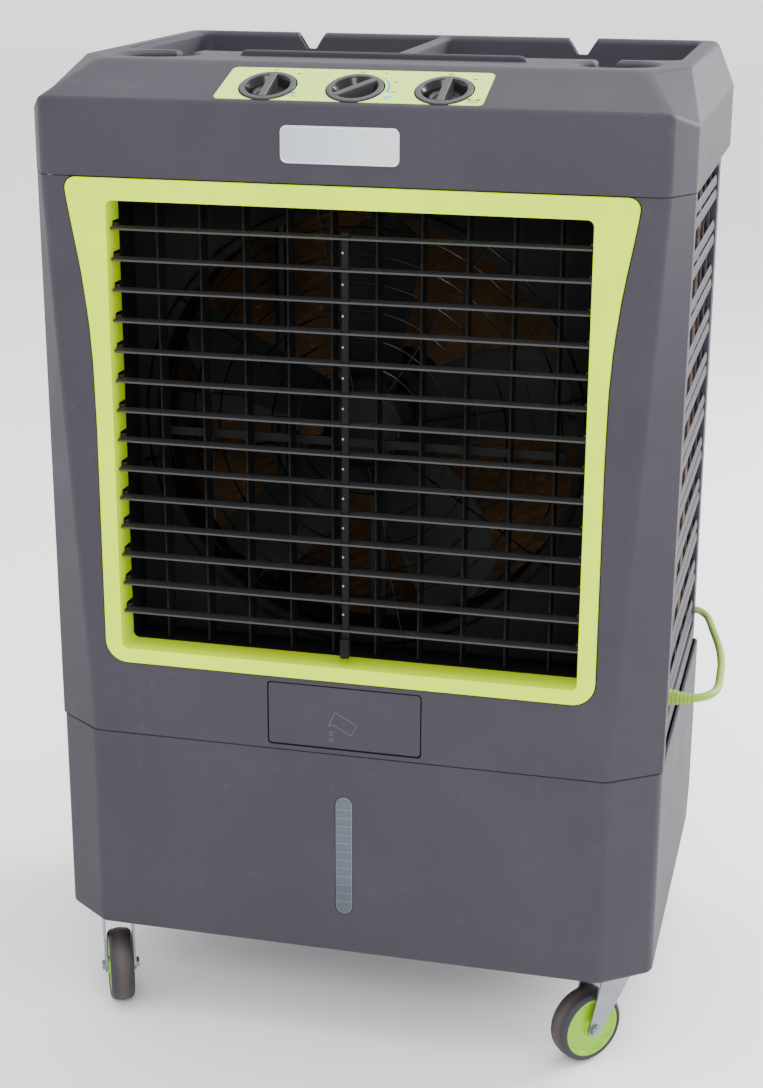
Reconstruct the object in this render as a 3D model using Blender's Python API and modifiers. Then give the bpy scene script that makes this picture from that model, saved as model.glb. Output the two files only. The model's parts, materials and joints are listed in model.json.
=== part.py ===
"""Portable evaporative cooler on four swivel castors.

World frame: +Z up, the louvred face looks along -Y, +X is the viewer's right, the
floor is z = 0 and the body stands centred on x = 0, y = 0.  Lengths below are in
millimetres and are turned into metres where a mesh or an object is made.
"""
import math

import bmesh
import bpy
from mathutils import Matrix, Vector

MM = 0.001
GAP = 0.3                      # running clearance between neighbouring pieces

# Overall body
FRONT, REAR = -215.0, 215.0
CAP_HALF = 305.0
CAP_BOTTOM = 854.5
DECK = 954.0                   # flat top surface of the cap
RIM_TOP = 960.0                # rear wall and tray lip
VERTICAL_TOP = 924.0           # where the vertical cap face turns into the control slope
CROWN_Y = -143.0               # where the control slope meets the deck
WALL = 3.0

# Cap recesses
TRAY_HALF, TRAY_FRONT, TRAY_REAR, TRAY_FLOOR = 268.0, -22.0, 203.0, 926.0
RIB_HALF = 5.0
CUP_X, CUP_Y, CUP_R, CUP_FLOOR = 218.0, -78.0, 39.0, 908.0
SLOT_HALF, SLOT_FLOOR = 10.0, 918.0
NOTCH_X, NOTCH_TOP_HALF, NOTCH_BOTTOM_HALF, NOTCH_FLOOR = 147.0, 15.0, 5.0, 943.0
LIP_HALF, LIP_Y = 138.0, -75.0

# Controls on the slope
KNOB_XS = (-76.0, 4.0, 84.0)
KNOB_R, KNOB_Y, KNOB_DEPTH = 25.5, -187.0, 11.0
KNOB_HOLE_R = KNOB_R + 0.6
KNOB_TURNS = (0.0, 45.0, 0.0)   # rest direction of each grip bar, degrees from upslope

# Tank
TANK_BOTTOM, TANK_TOP, TANK_HALF, TANK_REAR = 97.0, 311.0, 302.0, 197.0
TANK_FLAT, TANK_CHAMFER = 255.0, 34.5
TANK_WALL, TANK_LEDGE = 3.5, 16.0
REAR_CUT_Z, REAR_CUT_Y = 145.0, 165.0
WINDOW_HALF, WINDOW_BOTTOM, WINDOW_TOP = 9.0, 140.0, 267.0
DRAIN_Y, DRAIN_R = 130.0, 12.0

# Front panel, door and bezel
PANEL_BOTTOM, PANEL_TOP = 311.4, 854.1
PANEL_LEVELS = 7
DOOR_HALF, DOOR_BOTTOM, DOOR_TOP, DOOR_R = 75.3, 317.0, 380.0, 8.0
DOOR_HINGE_Z, DOOR_HINGE_Y = 318.4, -213.3
DOOR_SWEEP = 0.6  # extra gap below, where the lower edge swings
BEZEL_FRONT, BEZEL_BACK = -216.6, -212.4
BEZEL_TOP, BEZEL_BOTTOM = 853.6, 386.0
BEZEL_SIDE = ((239.5, 410.0), (239.5, 620.0), (240.6, 682.0), (243.2, 722.0),
              (249.0, 769.0), (256.6, 812.0), (260.4, 834.0))
OPEN_HALF, OPEN_BOTTOM, OPEN_TOP = 222.5, 401.0, 833.5
COLLAR_WALL, BEZEL_COLLAR_BACK = 3.0, -183.6

# Louvres in the opening
SLATS, SLAT_PITCH, SLAT_TOP_Z, SLAT_Y = 14, 28.5, 809.5, -197.0
SLAT_DEPTH, SLAT_THICK, SLAT_TILT = 24.0, 2.2, 12.0
VANES, VANE_PITCH, VANE_Y, VANE_DEPTH, VANE_THICK = 10, 42.0, -166.0, 22.0, 2.0
PIN_R, PIN_HOLE_R, PIN_SIDES = 1.4, 2.0, 6
TAB_REACH = 16.0
VANE_LINK_Z = 606.0

# Air path
FAN_Z, FAN_Y, FAN_R, HUB_R = 617.0, -113.0, 198.0, 46.0
BLADES, BLADE_PITCH = 5, 30.0
DUCT_R, DUCT_BACK = 205.0, -92.0
SHROUD_FRONT, SHROUD_PLATE, SHROUD_BACK = -182.6, -146.0, -143.0
SHROUD_HALF, SHROUD_BOTTOM, SHROUD_TOP = 280.0, 316.0, 850.0
MOTOR_R, MOTOR_FRONT, MOTOR_BACK, POST = 52.0, -79.0, 6.0, 222.0

# Louvred sides and back
SIDE_X, SIDE_FRONT, SIDE_REAR, BACK_Y, BACK_HALF = 297.0, -160.0, 189.5, 197.0, 297.0
SHELL_BOTTOM, SHELL_TOP = 311.4, 854.1
LOUVRES, LOUVRE_PITCH, LOUVRE_FIRST = 11, 46.5, 352.0
LOUVRE_HEIGHT, LOUVRE_THICK, LOUVRE_TILT = 31.0, 2.4, 15.0
SHEET = 3.0

# Water path
PUMP_X, PUMP_Y, PUMP_TOP = -150.0, 90.0, 172.0
PIPE_R, PIPE_Z, PIPE_X, PIPE_Y = 7.0, 848.0, 271.0, 165.0
FLOAT_X, FLOAT_Y, FLOAT_Z = 278.0, 100.0, 280.0
INLET_X, INLET_REAR = 287.0, 230.3

# Castors
STEM_X, STEM_FRONT_Y, STEM_REAR_Y, TRAIL = 259.0, -168.0, 128.0, 27.0
WHEEL_R, WHEEL_HALF, AXLE_R = 37.5, 12.5, 3.6
FORK_INNER, FORK_SHEET = 13.6, 2.4
# name, stem x, stem y, direction in which the wheel trails (degrees from +X)
CASTORS = (("front_right", STEM_X, STEM_FRONT_Y, 225.8), ("front_left", -STEM_X, STEM_FRONT_Y, 295.5),
           ("rear_right", STEM_X, STEM_REAR_Y, 74.0), ("rear_left", -STEM_X, STEM_REAR_Y, 101.0))

# Mains lead
CORD_R = 4.0
GLAND_Y, GLAND_Z, GLAND_END = -138.0, 372.0, 312.0
ROUTE = ((312.4, -138, 372), (319, -138, 372), (332, -131.5, 372.3), (341, -118, 372.2), (344.5, -98, 371.5),
         (343.5, -60, 368.5), (341, -10, 362), (334, 55, 354.5), (322, 125, 348), (310, 186, 342), (291, 224, 334),
         (261, 243, 317), (232, 248, 284), (211, 248, 240), (197, 248, 180), (189, 250, 112), (184, 259, 52),
         (181, 277, 14), (178, 300, 4.6), (169.5, 323, 4.4))
COIL_X, COIL_Y, COIL_R, COIL_SECTION, COIL_HEIGHT = 112.0, 330.0, 44.0, 9.0, 24.0

MATERIALS = {
    "body": ((0.105, 0.098, 0.112), 0.55, 0.0), "lime": ((0.62, 0.76, 0.17), 0.35, 0.0),
    "black": ((0.012, 0.012, 0.013), 0.45, 0.0), "knob": ((0.07, 0.07, 0.078), 0.4, 0.0),
    "zinc": ((0.62, 0.64, 0.66), 0.32, 1.0), "wheel": ((0.42, 0.62, 0.05), 0.4, 0.0),
    "pad": ((0.30, 0.17, 0.07), 0.9, 0.0), "window": ((0.35, 0.42, 0.5), 0.2, 0.0),
    "pipe": ((0.75, 0.76, 0.75), 0.45, 0.0), "motor": ((0.16, 0.17, 0.18), 0.4, 0.8),
    "float": ((0.8, 0.3, 0.08), 0.4, 0.0), "plug": ((0.05, 0.05, 0.055), 0.5, 0.0),
}

XZ = Matrix(((1, 0, 0, 0), (0, 0, -1, 0), (0, 1, 0, 0), (0, 0, 0, 1)))   # outline in x, z; sheet normal -Y
YZ = Matrix(((0, 0, 1, 0), (1, 0, 0, 0), (0, 1, 0, 0), (0, 0, 0, 1)))    # outline in y, z; sheet normal +X


# ---------------------------------------------------------------- scene set-up
def clear():
    for item in list(bpy.data.objects):
        bpy.data.objects.remove(item, do_unlink=True)


def collection(name):
    made = bpy.data.collections.new(name)
    bpy.context.scene.collection.children.link(made)
    return made


def material(kind):
    found = bpy.data.materials.get(kind)
    if found:
        return found
    colour, roughness, metallic = MATERIALS[kind]
    made = bpy.data.materials.new(kind)
    made.use_nodes = True
    shader = made.node_tree.nodes["Principled BSDF"]
    shader.inputs["Base Color"].default_value = (*colour, 1.0)
    shader.inputs["Roughness"].default_value = roughness
    shader.inputs["Metallic"].default_value = metallic
    return made


clear()
PARTS = collection("evaporative_cooler")
CUTTERS = collection("cutters")


# ---------------------------------------------------------------- modelling helpers
def to_mesh(name, bm, origin=(0, 0, 0)):
    """Mesh in metres from a bmesh in millimetres, measured from origin."""
    bmesh.ops.translate(bm, vec=-Vector(origin), verts=bm.verts)
    bmesh.ops.scale(bm, vec=(MM, MM, MM), verts=bm.verts)
    bmesh.ops.recalc_face_normals(bm, faces=bm.faces)
    mesh = bpy.data.meshes.new(name)
    bm.to_mesh(mesh)
    bm.free()
    return mesh


def part(name, bm, kind, origin=(0, 0, 0), smooth=False):
    mesh = to_mesh(name, bm, origin)
    mesh.materials.append(material(kind))
    if smooth:
        mesh.shade_smooth()
        mesh.set_sharp_from_angle(angle=math.radians(35))
    made = bpy.data.objects.new(name, mesh)
    made.location = Vector(origin) * MM
    PARTS.objects.link(made)
    return made


def tool(bm):
    """Helper solid for a Boolean, kept out of the render."""
    made = bpy.data.objects.new("tool", to_mesh("tool", bm))
    made.hide_render = True
    made.display_type = "WIRE"
    CUTTERS.objects.link(made)
    return made


def combine(target, bm, operation="DIFFERENCE"):
    boolean = target.modifiers.new(operation.lower(), "BOOLEAN")
    boolean.operation = operation
    boolean.solver = "EXACT"
    boolean.object = bm if isinstance(bm, bpy.types.Object) else tool(bm)
    return target


def joined(*meshes):
    """One bmesh holding several solids that do not touch."""
    bm = bmesh.new()
    for other in meshes:
        mesh = bpy.data.meshes.new("piece")
        other.to_mesh(mesh)
        other.free()
        bm.from_mesh(mesh)
        bpy.data.meshes.remove(mesh)
    return bm


def moved(bm, matrix):
    bmesh.ops.transform(bm, matrix=matrix, verts=bm.verts)
    return bm


def box(lo, hi):
    bm = bmesh.new()
    bmesh.ops.create_cube(bm, size=1.0)
    size = Vector(hi) - Vector(lo)
    middle = (Vector(hi) + Vector(lo)) / 2
    return moved(bm, Matrix.Translation(middle) @ Matrix.Diagonal((*size, 1)))


def convex(lo, hi, planes, inset=0.0):
    """Box trimmed by (point, outward normal) planes, every face moved inward by inset."""
    grow = Vector((inset, inset, inset))
    bm = box(Vector(lo) + grow, Vector(hi) - grow)
    for point, normal in planes:
        outward = Vector(normal).normalized()
        cut = bmesh.ops.bisect_plane(bm, geom=bm.verts[:] + bm.edges[:] + bm.faces[:], dist=1e-5,
                                     plane_co=Vector(point) - outward * inset, plane_no=outward, clear_outer=True)
        rim = [item for item in cut["geom_cut"] if isinstance(item, bmesh.types.BMEdge)]
        bmesh.ops.contextual_create(bm, geom=rim)
    return bm


def rod(start, end, radius, sides=16, end_radius=None):
    """Round bar between two points, tapered when end_radius is given."""
    a, b = Vector(start), Vector(end)
    bm = bmesh.new()
    bmesh.ops.create_cone(bm, cap_ends=True, segments=sides, radius1=radius,
                          radius2=radius if end_radius is None else end_radius, depth=(b - a).length)
    turn = (b - a).to_track_quat("Z", "Y").to_matrix().to_4x4()
    return moved(bm, Matrix.Translation((a + b) / 2) @ turn)


def arc(cx, cy, radius, start, end, count):
    return [(cx + radius * math.cos(math.radians(start + (end - start) * i / count)),
             cy + radius * math.sin(math.radians(start + (end - start) * i / count))) for i in range(count + 1)]


def circle(cx, cy, radius, sides):
    return arc(cx, cy, radius, 0, 360, sides)[:-1]


def rounded(x0, x1, y0, y1, radius, count=4):
    return (arc(x1 - radius, y1 - radius, radius, 0, 90, count) + arc(x0 + radius, y1 - radius, radius, 90, 180, count)
            + arc(x0 + radius, y0 + radius, radius, 180, 270, count)
            + arc(x1 - radius, y0 + radius, radius, 270, 360, count))


def from_curve(curve):
    holder = bpy.data.objects.new("outline", curve)
    PARTS.objects.link(holder)
    evaluated = holder.evaluated_get(bpy.context.evaluated_depsgraph_get())
    mesh = bpy.data.meshes.new_from_object(evaluated)
    bpy.data.objects.remove(holder, do_unlink=True)
    bm = bmesh.new()
    bm.from_mesh(mesh)
    bpy.data.meshes.remove(mesh)
    bmesh.ops.remove_doubles(bm, verts=bm.verts, dist=0.01)
    return bm


def sheet(outline, thickness, frame, offset, holes=()):
    """Flat piece from an outline with holes, its mid-plane at offset along the frame's normal."""
    curve = bpy.data.curves.new("outline", "CURVE")
    curve.dimensions = "2D"
    curve.fill_mode = "BOTH"
    curve.extrude = thickness / 2
    for loop in (outline, *holes):
        spline = curve.splines.new("POLY")
        spline.points.add(len(loop) - 1)
        spline.use_cyclic_u = True
        for point, (x, y) in zip(spline.points, loop):
            point.co = (x, y, 0, 1)
    return moved(from_curve(curve), frame @ Matrix.Translation((0, 0, offset)))


def smooth_route(points, spacing):
    """Points a fixed spacing apart on a Catmull-Rom curve through the route points."""
    route = [Vector(p) for p in points]
    ends = [2 * route[0] - route[1]] + route + [2 * route[-1] - route[-2]]
    fine = []
    for a, b, c, d in zip(ends, ends[1:], ends[2:], ends[3:]):
        for i in range(24):
            t = i / 24
            fine.append(0.5 * (2 * b + (c - a) * t + (2 * a - 5 * b + 4 * c - d) * t * t
                               + (3 * b - a - 3 * c + d) * t ** 3))
    fine.append(route[-1])
    kept, travelled = [fine[0]], 0.0
    for before, after in zip(fine, fine[1:]):
        travelled += (after - before).length
        if travelled >= spacing:
            kept.append(after)
            travelled = 0.0
    if travelled < spacing / 2:
        kept.pop()
    return kept + [fine[-1]]


def pipe_curve(points, radius, resolution):
    curve = bpy.data.curves.new("pipe", "CURVE")
    curve.dimensions = "3D"
    curve.bevel_depth = radius
    curve.bevel_resolution = resolution
    curve.use_fill_caps = True
    spline = curve.splines.new("POLY")
    spline.points.add(len(points) - 1)
    for point, place in zip(spline.points, points):
        point.co = (*place, 1)
    return curve


def turned(name, profile, kind, matrix, steps=32, target=None):
    """Solid turned about local Z from (radius, height) points running down the outer side."""
    mesh = bpy.data.meshes.new(name)
    closed = profile[0][0] > 0.01
    count = len(profile)
    edges = [(i, (i + 1) % count) for i in range(count if closed else count - 1)]
    mesh.from_pydata([(r * MM, 0, h * MM) for r, h in profile], edges, [])
    if kind:
        mesh.materials.append(material(kind))
    made = bpy.data.objects.new(name, mesh)
    made.matrix_world = matrix
    screw = made.modifiers.new("turn", "SCREW")
    screw.steps = screw.render_steps = steps
    screw.use_merge_vertices = True
    screw.merge_threshold = 1e-5
    screw.use_smooth_shade = True
    if target is None:
        PARTS.objects.link(made)
        return made
    made.hide_render = True
    made.display_type = "WIRE"
    CUTTERS.objects.link(made)
    return combine(target, made, "UNION")


def place(x, y, z, turn=None):
    """Object matrix in metres at a point in millimetres."""
    return Matrix.Translation((x * MM, y * MM, z * MM)) @ (turn or Matrix.Identity(4))


# ---------------------------------------------------------------- cap
SLOPE = Vector((0, VERTICAL_TOP - DECK, CROWN_Y - FRONT)).normalized()
SLOPE_FRAME = Matrix(((1, 0, 0, 0), (0, SLOPE.z, SLOPE.y, 0), (0, -SLOPE.y, SLOPE.z, 0), (0, 0, 0, 1)))


def slope_point(x, y, height=0.0):
    """Point standing height above the control slope at a given x and y."""
    z = VERTICAL_TOP + (y - FRONT) * (DECK - VERTICAL_TOP) / (CROWN_Y - FRONT)
    return Vector((x, y, z)) + SLOPE * height


def cap_body(bottom, inset):
    planes = [((0, FRONT, VERTICAL_TOP), SLOPE)]
    for side in (-1, 1):
        planes += [((side * 284, FRONT, 0), (side * 39, -21, 0)),
                   ((side * CAP_HALF, 0, 917), (side * 37, 0, 18)),
                   ((side * 305, -176, 912), (side * 26.5, -14.3, 17.2))]
    return convex((-CAP_HALF, FRONT, bottom - inset), (CAP_HALF, REAR, DECK), planes, inset)


def pocket_tools(grow):
    """Tray halves, cup recesses and their handle slots, enlarged by grow on every buried side."""
    tools = []
    for side in (-1, 1):
        x0, x1 = sorted((side * (RIB_HALF - min(grow, 1.0)), side * (TRAY_HALF + grow)))
        tools.append(box((x0, TRAY_FRONT - grow, TRAY_FLOOR - grow), (x1, TRAY_REAR + grow, 980)))
        tools.append(rod((side * CUP_X, CUP_Y, CUP_FLOOR - grow), (side * CUP_X, CUP_Y, 981), CUP_R + grow, 32))
        slot_x = side * (CUP_X - 14)
        tools.append(box((slot_x - SLOT_HALF - grow, CUP_Y, SLOT_FLOOR - grow),
                         (slot_x + SLOT_HALF + grow, TRAY_FRONT + 6, 982)))
    return tools


def top_cap():
    cap = part("top_cap", cap_body(CAP_BOTTOM, 0), "body")
    hollow = tool(cap_body(CAP_BOTTOM - 30, WALL))
    for bm in pocket_tools(WALL):
        combine(hollow, bm)
    combine(cap, hollow)
    combine(cap, box((-284, 206, 946), (284, REAR, RIM_TOP)), "UNION")
    lip = sheet(rounded(-LIP_HALF, LIP_HALF, 945, RIM_TOP - 1, 5), 6, XZ, -LIP_Y)
    combine(cap, lip, "UNION")
    for bm in pocket_tools(0):
        combine(cap, bm)
    notches = [sheet([(x - NOTCH_BOTTOM_HALF, NOTCH_FLOOR), (x + NOTCH_BOTTOM_HALF, NOTCH_FLOOR),
                      (x + NOTCH_TOP_HALF + 3, RIM_TOP + 3.5), (x - NOTCH_TOP_HALF - 3, RIM_TOP + 3.5)],
                     30, XZ, -210) for x in (-NOTCH_X, NOTCH_X)]
    combine(cap, joined(*notches))
    holes = [rod(slope_point(x, KNOB_Y, -20), slope_point(x, KNOB_Y, 20), KNOB_HOLE_R, 32) for x in KNOB_XS]
    combine(cap, joined(*holes))
    return cap


def knobs():
    r = KNOB_R
    profile = [(0, -7.5), (r - 7.5, -7.5), (r - 4, 2.0), (r - 0.8, 2.0), (r, 1.2), (r, -8.0), (r - 6, -KNOB_DEPTH),
               (0, -KNOB_DEPTH)]
    for name, x, turn in zip(("knob_pump", "knob_speed", "knob_swing"), KNOB_XS, KNOB_TURNS):
        where = slope_point(x, KNOB_Y)
        frame = Matrix.Translation(where * MM) @ SLOPE_FRAME
        knob = turned(name, profile, "knob", frame, 26)
        grip = moved(box((-3.6, -(r - 2.5), -9), (3.6, r - 2.5, 3.4)),
                     Matrix.Translation(where) @ SLOPE_FRAME @ Matrix.Rotation(math.radians(-turn), 4, "Z"))
        combine(knob, grip, "UNION")


# ---------------------------------------------------------------- tank and its fittings
def tank_body(inset, top):
    planes = [((0, TANK_REAR, REAR_CUT_Z), (0, REAR_CUT_Z - TANK_BOTTOM, REAR_CUT_Y - TANK_REAR))]
    for side in (-1, 1):
        planes.append(((side * TANK_FLAT, FRONT, 0), (side * TANK_CHAMFER, TANK_FLAT - TANK_HALF, 0)))
    return convex((-TANK_HALF, FRONT, TANK_BOTTOM), (TANK_HALF, TANK_REAR, top + inset), planes, inset)


def water_tank():
    tank = part("water_tank", tank_body(0, TANK_TOP), "body")
    combine(tank, tank_body(TANK_WALL, TANK_TOP - TANK_WALL))
    combine(tank, tank_body(TANK_LEDGE, TANK_TOP + 20))
    for side in (-1, 1):
        y = FLOAT_Y + side * 11.5
        combine(tank, box((FLOAT_X - 10, y - 2, FLOAT_Z - 8), (TANK_HALF - 1.5, y + 2, FLOAT_Z + 8)), "UNION")
    supply = rod((INLET_X + 5, FLOAT_Y + 12, FLOAT_Z), (INLET_X + 5, TANK_REAR - 1, FLOAT_Z), 5, 10)
    flange = rod((INLET_X, TANK_REAR - 2, FLOAT_Z), (INLET_X, TANK_REAR + 6, FLOAT_Z), 14, 12)
    barrel = rod((INLET_X, TANK_REAR + 3, FLOAT_Z), (INLET_X, INLET_REAR, FLOAT_Z), 11, 20)
    for pipe in (supply, flange, barrel):
        combine(tank, pipe, "UNION")
    combine(tank, rod((INLET_X, TANK_REAR + 1, FLOAT_Z), (INLET_X, INLET_REAR + 5, FLOAT_Z), 7.5, 16))
    slot = sheet(rounded(-WINDOW_HALF, WINDOW_HALF, WINDOW_BOTTOM, WINDOW_TOP, WINDOW_HALF, 8), 20, XZ, 213)
    combine(tank, joined(slot, rod((0, DRAIN_Y, 80), (0, DRAIN_Y, 110), DRAIN_R, 24)))
    g = GAP
    window = sheet(rounded(-WINDOW_HALF + g, WINDOW_HALF - g, WINDOW_BOTTOM + g, WINDOW_TOP - g, WINDOW_HALF - g, 8),
                   3.6, XZ, 213.4)
    part("level_window", window, "window", smooth=True)


def drain_plug():
    r = DRAIN_R - GAP
    profile = [(0, 8), (r - 2, 8), (r - 2, 3), (r, 3), (r, -5), (r + 6, -5), (r + 6, -9), (r - 1, -12), (0, -12)]
    turned("drain_plug", profile, "black", place(0, DRAIN_Y, TANK_BOTTOM + 4), 16)


def pump():
    body = part("pump", box((PUMP_X - 34, PUMP_Y - 28, TANK_BOTTOM + TANK_WALL + GAP),
                            (PUMP_X + 34, PUMP_Y + 28, PUMP_TOP - 12)), "black")
    bevel = body.modifiers.new("edges", "BEVEL")
    bevel.width, bevel.segments = 5 * MM, 2
    combine(body, rod((PUMP_X, PUMP_Y, PUMP_TOP - 30), (PUMP_X, PUMP_Y, PUMP_TOP), 9, 20), "UNION")


def water_pipe():
    riser = pipe_curve([(PUMP_X, PUMP_Y, PUMP_TOP + GAP), (PUMP_X, PUMP_Y, PIPE_Z - 10), (PUMP_X, PUMP_Y + 3, PIPE_Z - 3),
                        (PUMP_X, PUMP_Y + 10, PIPE_Z), (PUMP_X, PIPE_Y, PIPE_Z)], PIPE_R, 2)
    around = [(-PIPE_X, -130, PIPE_Z)]
    around += [(x, y, PIPE_Z) for x, y in arc(-PIPE_X + 18, PIPE_Y - 18, 18, 180, 90, 4)]
    around += [(x, y, PIPE_Z) for x, y in arc(PIPE_X - 18, PIPE_Y - 18, 18, 90, 0, 4)]
    around += [(PIPE_X, -130, PIPE_Z)]
    pipe = part("water_pipe", from_curve(pipe_curve(around, PIPE_R, 2)), "pipe", smooth=True)
    combine(pipe, from_curve(riser), "UNION")


def float_arm():
    pivot = (FLOAT_X, FLOAT_Y, FLOAT_Z)
    arm = part("float_arm", rod((FLOAT_X, FLOAT_Y - 9, FLOAT_Z), (FLOAT_X, FLOAT_Y + 9, FLOAT_Z), 6, 12), "float", pivot)
    combine(arm, rod((FLOAT_X - 2, FLOAT_Y, FLOAT_Z - 2), (FLOAT_X - 68, FLOAT_Y, FLOAT_Z - 68), 2.4, 6), "UNION")
    ball = bmesh.new()
    bmesh.ops.create_uvsphere(ball, u_segments=16, v_segments=9, radius=27)
    combine(arm, moved(ball, Matrix.Translation((FLOAT_X - 81, FLOAT_Y, FLOAT_Z - 81))), "UNION")


# ---------------------------------------------------------------- front panel, door, bezel
def front_panel():
    """Bent sheet lofted from U-shaped sections whose corner chamfers widen downward."""
    bm = bmesh.new()
    rings = []
    for level in range(PANEL_LEVELS):
        t = level / (PANEL_LEVELS - 1)
        flat, end, depth = 253 + 31 * t, 302.6 + 2 * t, 35 + 4 * t
        z = PANEL_BOTTOM + (PANEL_TOP - PANEL_BOTTOM) * t
        half = [(flat, FRONT), (end, FRONT + depth), (end, FRONT + depth + 14), (end - WALL, FRONT + depth + 14),
                (end - WALL, FRONT + depth + 1.6), (flat - 1.2, FRONT + WALL)]
        section = half + [(-x, y) for x, y in reversed(half)]
        rings.append([bm.verts.new((x, y, z)) for x, y in section])
    for lower, upper in zip(rings, rings[1:]):
        for i in range(len(lower)):
            j = (i + 1) % len(lower)
            bm.faces.new((lower[i], lower[j], upper[j], upper[i]))
    bm.faces.new(rings[0])
    bm.faces.new(rings[-1])
    panel = part("front_panel", bm, "body")
    g = 0.6
    opening = [(x + g, z) for x, z in BEZEL_SIDE] + [(262, 900), (-262, 900)] + [(-x - g, z) for x, z in BEZEL_SIDE[::-1]]
    opening += [(-a, z) for a, z in bezel_bottom_corner(g)[::-1]] + bezel_bottom_corner(g)
    combine(panel, sheet(opening, 30, XZ, -FRONT))
    door = rounded(-DOOR_HALF - g, DOOR_HALF + g, DOOR_BOTTOM - g - DOOR_SWEEP, DOOR_TOP + g, DOOR_R + g)
    combine(panel, sheet(door, 30, XZ, -FRONT))


def bezel_bottom_corner(grow):
    r = 22
    x, z = BEZEL_SIDE[0][0] - r, BEZEL_BOTTOM + r
    return arc(x, z, r + grow, 270, 360, 7)[:-1] + [(x + r + grow, z)]


def bezel_outline():
    top = arc(BEZEL_SIDE[-1][0] - 16.5, BEZEL_TOP - 16, 16, 8, 90, 6)
    right = bezel_bottom_corner(0) + list(BEZEL_SIDE) + top
    return right + [(-x, z) for x, z in right[::-1]]


def collar_holes():
    """Pivot holes through both side walls, one long drill for each slat."""
    reach = OPEN_HALF + 8
    return joined(*(rod((-reach, SLAT_Y, z), (reach, SLAT_Y, z), PIN_HOLE_R, PIN_SIDES) for z in slat_heights()))


def bezel():
    depth = BEZEL_BACK - BEZEL_FRONT
    flange = sheet(bezel_outline(), depth, XZ, -(BEZEL_FRONT + BEZEL_BACK) / 2)
    frame = part("bezel", flange, "lime")
    w = COLLAR_WALL
    collar = sheet(rounded(-OPEN_HALF - w, OPEN_HALF + w, OPEN_BOTTOM - w, OPEN_TOP + w, 13 + w),
                   BEZEL_COLLAR_BACK - BEZEL_FRONT - 1, XZ, -(BEZEL_FRONT + 1 + BEZEL_COLLAR_BACK) / 2)
    combine(frame, collar, "UNION")
    combine(frame, sheet(rounded(-OPEN_HALF, OPEN_HALF, OPEN_BOTTOM, OPEN_TOP, 13), 80, XZ, 200))
    combine(frame, collar_holes())


def fill_door():
    door = sheet(rounded(-DOOR_HALF, DOOR_HALF, DOOR_BOTTOM, DOOR_TOP, DOOR_R), WALL, XZ, 213.5)
    leaf = part("fill_door", door, "body", (0, DOOR_HINGE_Y, DOOR_HINGE_Z))
    cheek = [(-213, 322), (-178, 352), (-184, 368), (-213, 374)]
    floor = [(-213, 321), (-178, 351), (-178, 354), (-213, 324)]
    cheeks = [sheet(cheek, 2, YZ, side * 66) for side in (-1, 1)]
    combine(leaf, joined(*cheeks), "UNION")
    combine(leaf, sheet(floor, 132, YZ, 0), "UNION")


# ---------------------------------------------------------------- louvres
def slat_heights():
    return [SLAT_TOP_Z - SLAT_PITCH * i for i in range(SLATS)]


def slats():
    half, thick = SLAT_DEPTH / 2, SLAT_THICK / 2
    tilt = Matrix.Rotation(math.radians(SLAT_TILT), 4, "X")
    for number, z in enumerate(slat_heights(), 1):
        centre = Vector((0, SLAT_Y, z))
        frame = Matrix.Translation(centre) @ tilt
        section = [(-half, -thick), (-half, thick * 0.6), (-half + 2, thick), (half, 0.5), (half, -0.5), (-half + 2, -thick)]
        blade = moved(sheet(section, 2 * OPEN_HALF - 1.2, YZ, 0), frame)
        slat = part(f"slat_{number:02d}", blade, "black", centre)
        tab = moved(box((3.4, -TAB_REACH, -0.9), (5.4, -half + 3, 0.9)), frame)
        combine(slat, tab, "UNION")
        reach = OPEN_HALF + COLLAR_WALL - 0.4
        pins = [rod((side * (OPEN_HALF - 5), SLAT_Y, z), (side * reach, SLAT_Y, z), PIN_R, PIN_SIDES) for side in (-1, 1)]
        combine(slat, joined(*pins), "UNION")


def slat_pin(z):
    """Where the link is pinned to the slat whose pivot is at height z."""
    reach, angle = TAB_REACH - 1.6, math.radians(SLAT_TILT)
    return SLAT_Y - reach * math.cos(angle), z - reach * math.sin(angle)


def slat_link():
    heights = slat_heights()
    y, top = slat_pin(heights[0])
    bottom = slat_pin(heights[-1])[1]
    bar = part("slat_link", box((-3, y - 1.2, bottom - 9), (3, y + 1.2, top + 6)), "black", (0, y, top))
    combine(bar, box((-4, y - 6.5, bottom - 22), (4, y + 0.8, bottom - 6)), "UNION")


def vane_xs():
    return [(i - (VANES - 1) / 2) * VANE_PITCH for i in range(VANES)]


def vanes():
    half, thick = VANE_DEPTH / 2, VANE_THICK / 2
    for number, x in enumerate(vane_xs(), 1):
        section = [(x - thick, VANE_Y - half + 1.5), (x, VANE_Y - half), (x + thick, VANE_Y - half + 1.5),
                   (x + 0.6, VANE_Y + half), (x - 0.6, VANE_Y + half)]
        height = OPEN_TOP - OPEN_BOTTOM - 1.4
        middle = (OPEN_TOP + OPEN_BOTTOM) / 2
        blade = sheet(section, height, Matrix.Identity(4), middle)
        vane = part(f"vane_{number:02d}", blade, "black", (x, VANE_Y, middle))
        combine(vane, box((x - 0.9, VANE_Y + half - 3, VANE_LINK_Z + 4.4),
                          (x + 0.9, VANE_Y + half + 3.4, VANE_LINK_Z + 6.4)), "UNION")
        ends = ((OPEN_BOTTOM - COLLAR_WALL + 0.4, OPEN_BOTTOM + 4), (OPEN_TOP - 4, OPEN_TOP + COLLAR_WALL - 0.4))
        combine(vane, joined(*(rod((x, VANE_Y, a), (x, VANE_Y, b), PIN_R, PIN_SIDES) for a, b in ends)), "UNION")


def vane_link():
    xs, y = vane_xs(), VANE_Y + VANE_DEPTH / 2 + 2.2
    bar = box((xs[0] - 6, y - 1, VANE_LINK_Z - 4), (xs[-1] + 6, y + 1, VANE_LINK_Z + 4))
    part("vane_link", bar, "black", (xs[0], y, VANE_LINK_Z))


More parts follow.
